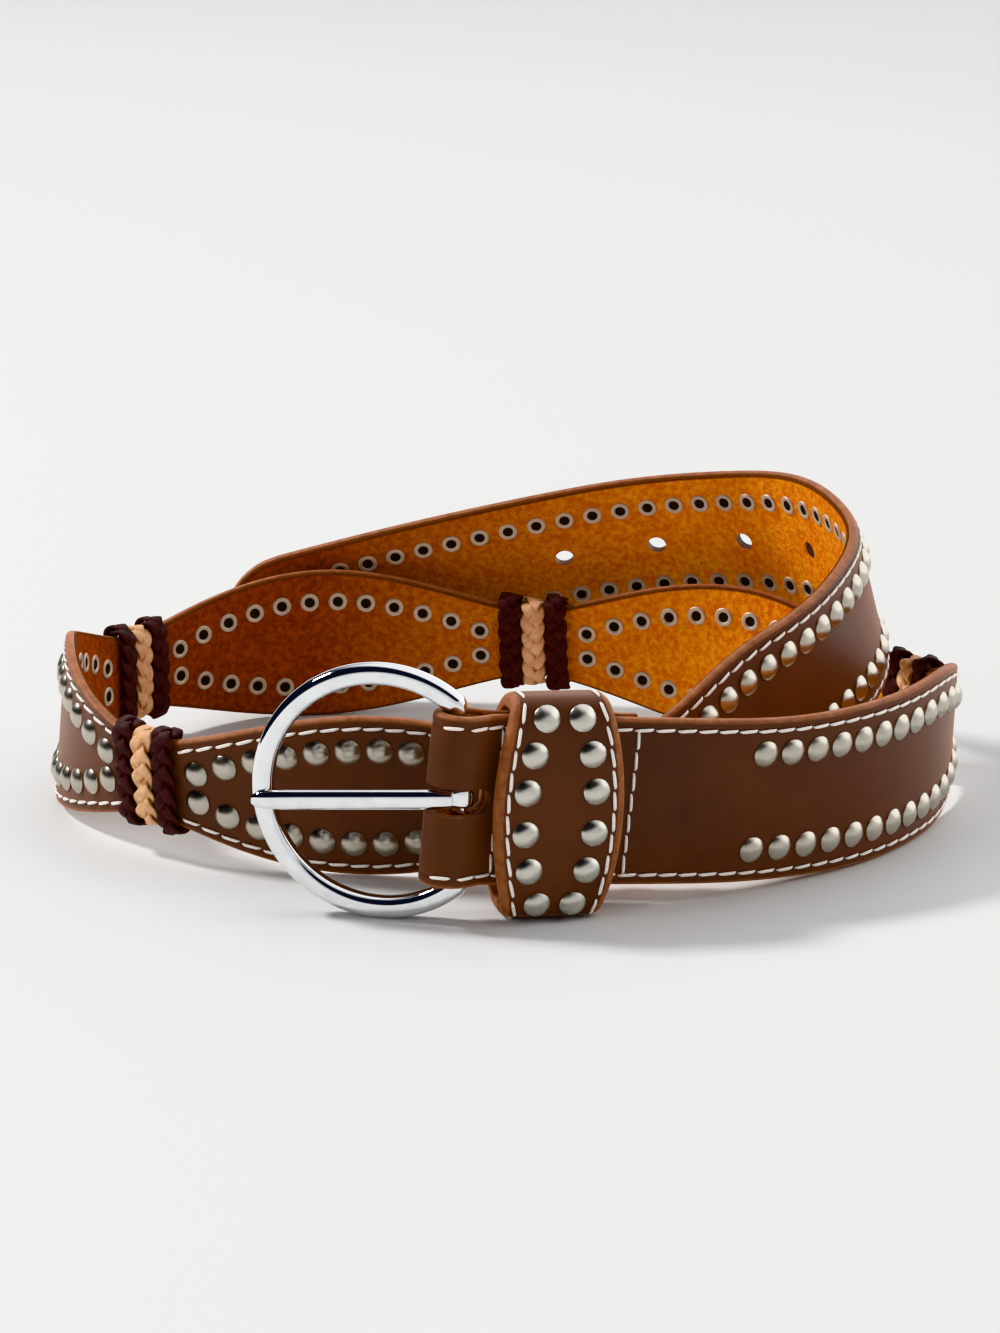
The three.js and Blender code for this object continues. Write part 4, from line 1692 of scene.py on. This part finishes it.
@dataclass(frozen=True)
class Wrap:
    """Three flat plaits side by side round the narrow leather: dark, tan, dark.

    Args:
        number: which wrap it is, counted from 1 at the buckle.
        pitch: distance from one plait to the next.
        plait_half: half the width of a plait.
        deep: half the depth of the oval that its middle line follows.
        clear: how far that oval reaches past the leather's edges.
        side: how far a strand swings to both sides.
        lift: how far it rises and sinks where strands cross.
        strand_half: half the width of a strand.
        strand_thick: half the thickness of a strand.
        uneven: sizes of the slow shifts of its phase, with their waves in one round.
        laps: swings of a strand in one round.
        steps: number of stations in one round.
    """

    number: int
    pitch: float = 6.1
    plait_half: float = 2.85
    deep: float = 3.05
    clear: float = 1.5
    side: float = 1.6
    lift: float = 0.72
    strand_half: float = 1.45
    strand_thick: float = 0.46
    uneven: tuple[tuple[float, int], ...] = ((0.22, 3), (0.1, 7))
    laps: int = 4
    steps: int = 168

    def loop(self, half: float) -> tuple[Array, Array]:
        """The plait's middle line: evenly spaced points of (up / half)^4 + (out / deep)^4 = 1."""
        turn = np.linspace(0, 2 * np.pi, 2001)
        up, out = half * squared(np.cos(turn), 0.5), self.deep * squared(np.sin(turn), 0.5)
        return evenly(up, out, self.steps)

    def strand(self, s: float, half: float, k: int, rng: np.random.Generator) -> Surface:
        """One strand: side (sin(p) - 0.09 sin(3 p)) across and lift sin(2 p) out, for phase p.

        Args:
            s: distance of the plait's middle.
            half: half the width of the oval that it follows.
            k: which strand it is, from 0 to 2.
            rng: source of its unevenness.
        """
        up, out = self.loop(half)
        turn = 2 * np.pi * np.arange(self.steps) / self.steps
        phase = self.laps * turn + 2 * np.pi * k / 3
        for size, waves in self.uneven:
            phase = phase + size * np.sin(waves * turn + rng.uniform(0, 6))
        across = self.side * (np.sin(phase) - 0.09 * np.sin(3 * phase))
        level = np.stack([up, out], axis=-1)
        way = ways(level)
        normal = np.stack([-way[:, 1], way[:, 0]], axis=-1)
        normal = np.where((normal * level).sum(axis=-1, keepdims=True) < 0, -normal, normal)
        level = level + self.lift * np.sin(2 * phase)[:, None] * normal
        at = s + across
        _, high, face = ROUTE.axes(at)
        middle = ROUTE.middle(at)
        line = middle + level[:, :1] * high + level[:, 1:] * face
        outward = unit(normal[:, :1] * high + normal[:, 1:] * face)
        forward = ways(line)
        side = unit(np.cross(forward, outward))
        outward = np.cross(side, forward)
        b = 2 * np.pi * np.arange(14) / 14
        wide = self.strand_half * (1 + 0.07 * np.sin(5 * turn + rng.uniform(0, 6)))
        flat = wide[:, None] * squared(np.cos(b), 0.6)
        tall = self.strand_thick * squared(np.sin(b), 0.6)
        rings = (
            line[:, None]
            + flat[..., None] * side[:, None]
            + tall[None, :, None] * outward[:, None]
        )
        return closed_loft(rings, joined=True)

    def build(self, finishes: Finishes) -> None:
        """Builds the three plaits."""
        looks = (
            (finishes.dark_cord, Slot.DARK_CORD),
            (finishes.tan_cord, Slot.TAN_CORD),
            (finishes.dark_cord, Slot.DARK_CORD),
        )
        for i, (material, slot) in enumerate(looks):
            s = WIDTHS.wrap_at(self.number) + (i - 1) * self.pitch
            edges = np.array([s - self.plait_half, s + self.plait_half])
            half = float(WIDTHS.half(edges).max()) + self.clear
            rng = np.random.default_rng(10 * self.number + i)
            strands = [self.strand(s, half, k, rng) for k in range(3)]
            name = f"wrap_{self.number}_cord_{i + 1}"
            make_piece(f"{name}_plait", merged(strands), [material], slot, stands_for=(name,))


# Studio


@dataclass(frozen=True)
class Studio:
    """The pale floor, the two soft boxes, the surroundings and the camera.

    Args:
        floor: colour of the floor.
        floor_shade: share of that colour's brightness in its darker clouds.
        camera: where the camera stands, in metres.
        pitch: how far it is raised from looking straight down, in degrees.
        lens: its focal length in millimetres.
        key_way: way from the belt to the small lamp that casts the shadows.
        key_far: how far away it hangs.
        key_size: its diameter.
        key_power: its power in watts.
        soft_way: way from the belt to the wide lamp that lights the front.
        soft_far: how far away it hangs.
        soft_size: its diameter.
        soft_power: its power in watts.
        dark: colour of the dark part of the surroundings.
        dark_way: way to the middle of that part.
        band: how far along that way the bright part ends and the dark part is full.
        front: brightness of the bright part in front.
        back: its brightness behind.
        turn: how far back the one turns into the other, from and to.
        fill: brightness of the soft patch.
        fill_way: way to the middle of that patch.
        fill_reach: how far along that way it starts and is full.
    """

    floor: tuple = srgb(221, 221, 219)
    floor_shade: float = 0.985
    camera: tuple[float, float, float] = (-0.0012, -1.0746, 0.3235)
    pitch: float = 75.0
    lens: float = 122.6
    key_way: tuple[float, float, float] = (-0.94, 0.28, 0.98)
    key_far: float = 2.5
    key_size: float = 0.45
    key_power: float = 54.0
    soft_way: tuple[float, float, float] = (-0.75, -0.5, 0.45)
    soft_far: float = 2.0
    soft_size: float = 1.2
    soft_power: float = 12.0
    dark: tuple[float, float, float] = (0.018, 0.02, 0.03)
    dark_way: tuple[float, float, float] = (-0.4, 0.0, 0.92)
    band: tuple[float, float] = (0.16, 0.36)
    front: float = 0.8
    back: float = 1.0
    turn: tuple[float, float] = (-0.6, 0.3)
    fill: float = 1.3
    fill_way: tuple[float, float, float] = (0.5, 0.45, 0.74)
    fill_reach: tuple[float, float] = (0.45, 0.85)

    def build(self) -> None:
        """Builds all of the studio."""
        self.build_floor()
        self.build_lamp("key", self.key_way, self.key_far, self.key_size, self.key_power)
        soft = self.build_lamp(
            "soft", self.soft_way, self.soft_far, self.soft_size, self.soft_power
        )
        soft.visible_glossy = False
        self.build_world()
        self.build_camera()
        view = bpy.context.scene.view_settings
        view.view_transform = "Khronos PBR Neutral"
        view.look = "None"

    def build_floor(self) -> None:
        """A wide pale floor with a faint unevenness."""
        far = 10.0
        mesh = bpy.data.meshes.new("floor")
        corners = [(-far, -far, 0), (far, -far, 0), (far, far, 0), (-far, far, 0)]
        mesh.from_pydata(corners, [], [(0, 1, 2, 3)])
        material, shader, where = new_material("floor")
        tree = material.node_tree
        cloud = EFFECTS.mottled(tree, where, 3.0)
        colour = blend(tree, cloud, shaded(self.floor, self.floor_shade), self.floor)
        looks = {"Base Color": colour, "Roughness": 0.6, "Specular IOR Level": 0.2}
        feed(tree, shader, looks)
        mesh.materials.append(material)
        floor = bpy.data.objects.new("floor", mesh)
        bpy.context.scene.collection.objects.link(floor)
        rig.stage(floor)

    def build_lamp(
        self, name: str, toward: tuple, far: float, size: float, power: float
    ) -> bpy.types.Object:
        """A round soft box that shines on the belt.

        Args:
            name: what it is called.
            toward: the way from the belt to the lamp.
            far: how far away it hangs.
            size: its diameter.
            power: its power in watts.

        Returns:
            The lamp.
        """
        light = bpy.data.lights.new(name, "AREA")
        light.shape = "DISK"
        light.size = size
        light.energy = power
        lamp = bpy.data.objects.new(name, light)
        way = Vector(toward).normalized()
        lamp.location = way * far
        lamp.rotation_euler = way.to_track_quat("Z", "Y").to_euler()
        bpy.context.scene.collection.objects.link(lamp)
        return lamp

    def build_world(self) -> None:
        """Dark overhead and to the left, bright low down, and a soft patch high on the right."""
        world = bpy.data.worlds.new("studio")
        world.use_nodes = True
        tree = world.node_tree
        direction = node(tree, "TexCoord").outputs["Generated"]
        parts = node(tree, "SeparateXYZ", {0: direction}).outputs

        def mask(value: object, reach: tuple[float, float], start: float, end: float) -> object:
            """A smooth run from start to end while the value goes through its reach."""
            low, high = reach
            inputs = {"From Min": low, "From Max": high, "To Min": start, "To Max": end}
            settings = {"interpolation_type": "SMOOTHSTEP"}
            return node(tree, "MapRange", {"Value": value, **inputs}, settings).outputs[0]

        def along(way: tuple) -> object:
            """How far the direction goes along a way."""
            settings = {"operation": "DOT_PRODUCT"}
            return node(tree, "VectorMath", {0: direction, 1: way}, settings).outputs["Value"]

        bright = mask(along(self.dark_way), self.band, 1.0, 0.0)
        behind = mask(parts["Y"], self.turn, self.front, self.back)
        patch = mask(along(self.fill_way), self.fill_reach, 0.0, self.fill)
        glow = maths(tree, "ADD", maths(tree, "MULTIPLY", bright, behind), patch)
        seen = node(tree, "VectorMath", {0: glow, 1: self.dark}, {"operation": "ADD"})
        background = tree.nodes["Background"]
        tree.links.new(seen.outputs["Vector"], background.inputs["Color"])
        background.inputs["Strength"].default_value = 1.0
        bpy.context.scene.world = world

    def build_camera(self) -> None:
        """The photograph's view, 15 degrees down from the front."""
        lens = bpy.data.cameras.new("camera")
        lens.lens = self.lens
        lens.sensor_fit = "VERTICAL"
        lens.sensor_height = 36
        lens.clip_end = 100
        camera = bpy.data.objects.new("camera", lens)
        camera.location = self.camera
        camera.rotation_euler = (math.radians(self.pitch), 0, 0)
        bpy.context.scene.collection.objects.link(camera)
        bpy.context.scene.camera = camera


def main() -> None:
    """Builds the whole scene in order."""
    logging.basicConfig(level=logging.INFO, format="%(name)s %(message)s")
    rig.load(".")
    low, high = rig.bounds()
    LOG.info("packed box %s to %s", low, high)
    finishes = Finishes()
    BuckleEnd().build(finishes)
    for number in range(1, WIDTHS.panels + 1):
        Panel(number).build(finishes)
    TipStrap().build(finishes)
    Keeper().build(finishes)
    RingBuckle().build(finishes)
    for number in range(1, WIDTHS.panels + 2):
        Wrap(number).build(finishes)
    Studio().build()
    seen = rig.bounds()
    LOG.info("scene box %s to %s", *seen)
    boxes = {"packed": [list(low), list(high)], "scene": [list(point) for point in seen]}
    SIZE_FILE.write_text(json.dumps(boxes))


if __name__ == "__main__":
    main()
